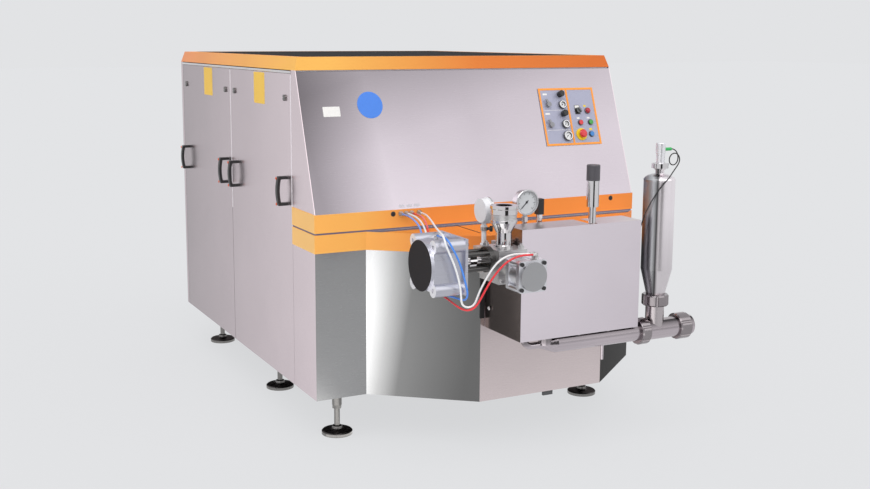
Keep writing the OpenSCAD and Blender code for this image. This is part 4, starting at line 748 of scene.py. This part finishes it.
# Seam of the housing's top plate
SEAM_AT = (-157, -126, 943)
form = bmesh.new()
plate(form, axes(at(*SEAM_AT), UP, FRONT), width=6, height=230, corner=2, thick=0.4)
piece("top_seam", form, ["seam"], "machine")

# Screws on the cover's left cheek
CHEEK_SCREWS_X, CHEEK_SCREWS_Y, CHEEK_SCREWS_Z = -177, -355, (639, 860)
SOCKET_SCREW = [(9, 0), (9, 3), (7, 4.5), (4, 4.5), (4, 2.5)]
form = bmesh.new()
for z in CHEEK_SCREWS_Z:
    turned(form, axes(at(CHEEK_SCREWS_X, CHEEK_SCREWS_Y, z), LEFT), SOCKET_SCREW)
piece("cheek_screws", form, ["polish"], "head_cover")

# Blank label of the valve block
BLOCK_LABEL_AT = (-310, -528, 897)
form = bmesh.new()
plate(form, axes(at(*BLOCK_LABEL_AT), LEFT), width=26, height=26, corner=2, thick=0.6)
piece("block_label", form, ["white"], "machine")

# Domed screws along the right and rear panels
SCREWS_Z, RIGHT_SCREWS_Y, REAR_SCREWS_X = (262, 910, 1560), (420, 960, 1500, 2025), (-785, 0, 785)
DOMED_SCREW = [(10, 0), (10, 1.2), (8.5, 3.4), (5, 4.4), (3.2, 4.4), (3.2, 2.4)]
form = bmesh.new()
for z in SCREWS_Z:
    for y in RIGHT_SCREWS_Y:
        turned(form, axes(at(HALF_W, y, z), RIGHT), DOMED_SCREW, steps=16)
    for x in REAR_SCREWS_X:
        turned(form, axes(at(x, BACK_Y, z), BACK), DOMED_SCREW, steps=16)
piece("panel_screws", form, ["machined"], "machine")

# Light and stage: uniform soft light, cards that only mirrors see, and a floor of the background's tone
BACKDROP = (0.761, 0.768, 0.783)
SOFT_LIGHT = 0.70
FLOOR_COLOUR = (0.70, 0.71, 0.73)
FLOOR_GLOW = 0.85
FLOOR_SIZE = 60
FLOOR_Z = -0.0005


def seen_rays(tree, links):
    """1 for rays of the camera and of mirrors and glass, 0 for those that light the object."""
    path = tree.new("ShaderNodeLightPath")
    seen = path.outputs["Is Camera Ray"]
    for kind in ("Is Glossy Ray", "Is Transmission Ray"):
        either = tree.new("ShaderNodeMath")
        either.operation = "MAXIMUM"
        links.new(seen, either.inputs[0])
        links.new(path.outputs[kind], either.inputs[1])
        seen = either.outputs["Value"]
    return seen


def mix(tree, links, factor, first, second):
    node = tree.new("ShaderNodeMixShader")
    links.new(first, node.inputs[1])
    links.new(second, node.inputs[2])
    if isinstance(factor, float):
        node.inputs["Fac"].default_value = factor
    else:
        links.new(factor, node.inputs["Fac"])
    return node.outputs["Shader"]


def glow(tree, kind, output, colour, strength):
    """A background or an emission of one colour."""
    node = tree.new(kind)
    node.inputs["Color"].default_value = (*colour, 1)
    node.inputs["Strength"].default_value = strength
    return node.outputs[output]


def bare_material(name):
    mat = bpy.data.materials.new(name)
    mat.use_nodes = True
    tree, links = mat.node_tree.nodes, mat.node_tree.links
    tree.remove(tree["Principled BSDF"])
    return mat, tree, links


def sun(name, strength, angle, turn, height):
    """A soft sun; its spread, turn and height are in degrees."""
    data = bpy.data.lights.new(name, "SUN")
    data.energy = strength
    data.angle = math.radians(angle)
    obj = add_object(name, data)
    obj.rotation_euler = (math.radians(90 - height), 0, math.radians(turn))


def card(name, centre, facing, width, height, tone):
    """A board that shows only in reflections, in metres."""
    across = RIGHT if facing[2] else Vector((-facing[1], facing[0], 0)).normalized()
    up = Vector(facing).normalized().cross(across)
    form = bmesh.new()
    form.faces.new([form.verts.new(Vector(centre) + across * sx * width / 2 + up * sy * height / 2)
                    for sx, sy in ((-1, -1), (1, -1), (1, 1), (-1, 1))])
    mesh = mesh_of(name, form)
    mat, tree, links = bare_material(name)
    light = glow(tree, "ShaderNodeEmission", "Emission", (1, 1, 1), tone)
    links.new(light, tree["Material Output"].inputs["Surface"])
    mesh.materials.append(mat)
    obj = add_object(name, mesh)
    obj.visible_camera = False
    obj.visible_diffuse = False
    obj.visible_shadow = False


world = bpy.data.worlds.new("studio")
bpy.context.scene.world = world
world.use_nodes = True
tree, links = world.node_tree.nodes, world.node_tree.links
tree.remove(tree["Background"])
soft = glow(tree, "ShaderNodeBackground", "Background", (1, 1, 1), SOFT_LIGHT)
seen = glow(tree, "ShaderNodeBackground", "Background", BACKDROP, 1.0)
links.new(mix(tree, links, seen_rays(tree, links), soft, seen), tree["World Output"].inputs["Surface"])

sun("key", strength=1.3, angle=50, turn=-40, height=52)
sun("fill", strength=0.6, angle=60, turn=35, height=40)
card("dark_card_front", (-0.75, -5.05, 1.5), (0.26, 0.97, 0), width=1.9, height=3.0, tone=0.03)
card("bright_card_floor", (-2.0, -2.0, 0.002), (0, 0, 1), width=3.0, height=3.0, tone=1.55)

form = bmesh.new()
bmesh.ops.create_grid(form, x_segments=1, y_segments=1, size=FLOOR_SIZE)
floor_mesh = mesh_of("floor", form)
floor = add_object("floor", floor_mesh)
floor.location.z = FLOOR_Z
floor_mat, tree, links = bare_material("floor")
matt = tree.new("ShaderNodeBsdfDiffuse")
matt.inputs["Color"].default_value = (*FLOOR_COLOUR, 1)
lit = matt.outputs["BSDF"]
shown = mix(tree, links, FLOOR_GLOW, lit, glow(tree, "ShaderNodeEmission", "Emission", BACKDROP, 1.0))
links.new(mix(tree, links, seen_rays(tree, links), lit, shown), tree["Material Output"].inputs["Surface"])
floor_mesh.materials.append(floor_mat)
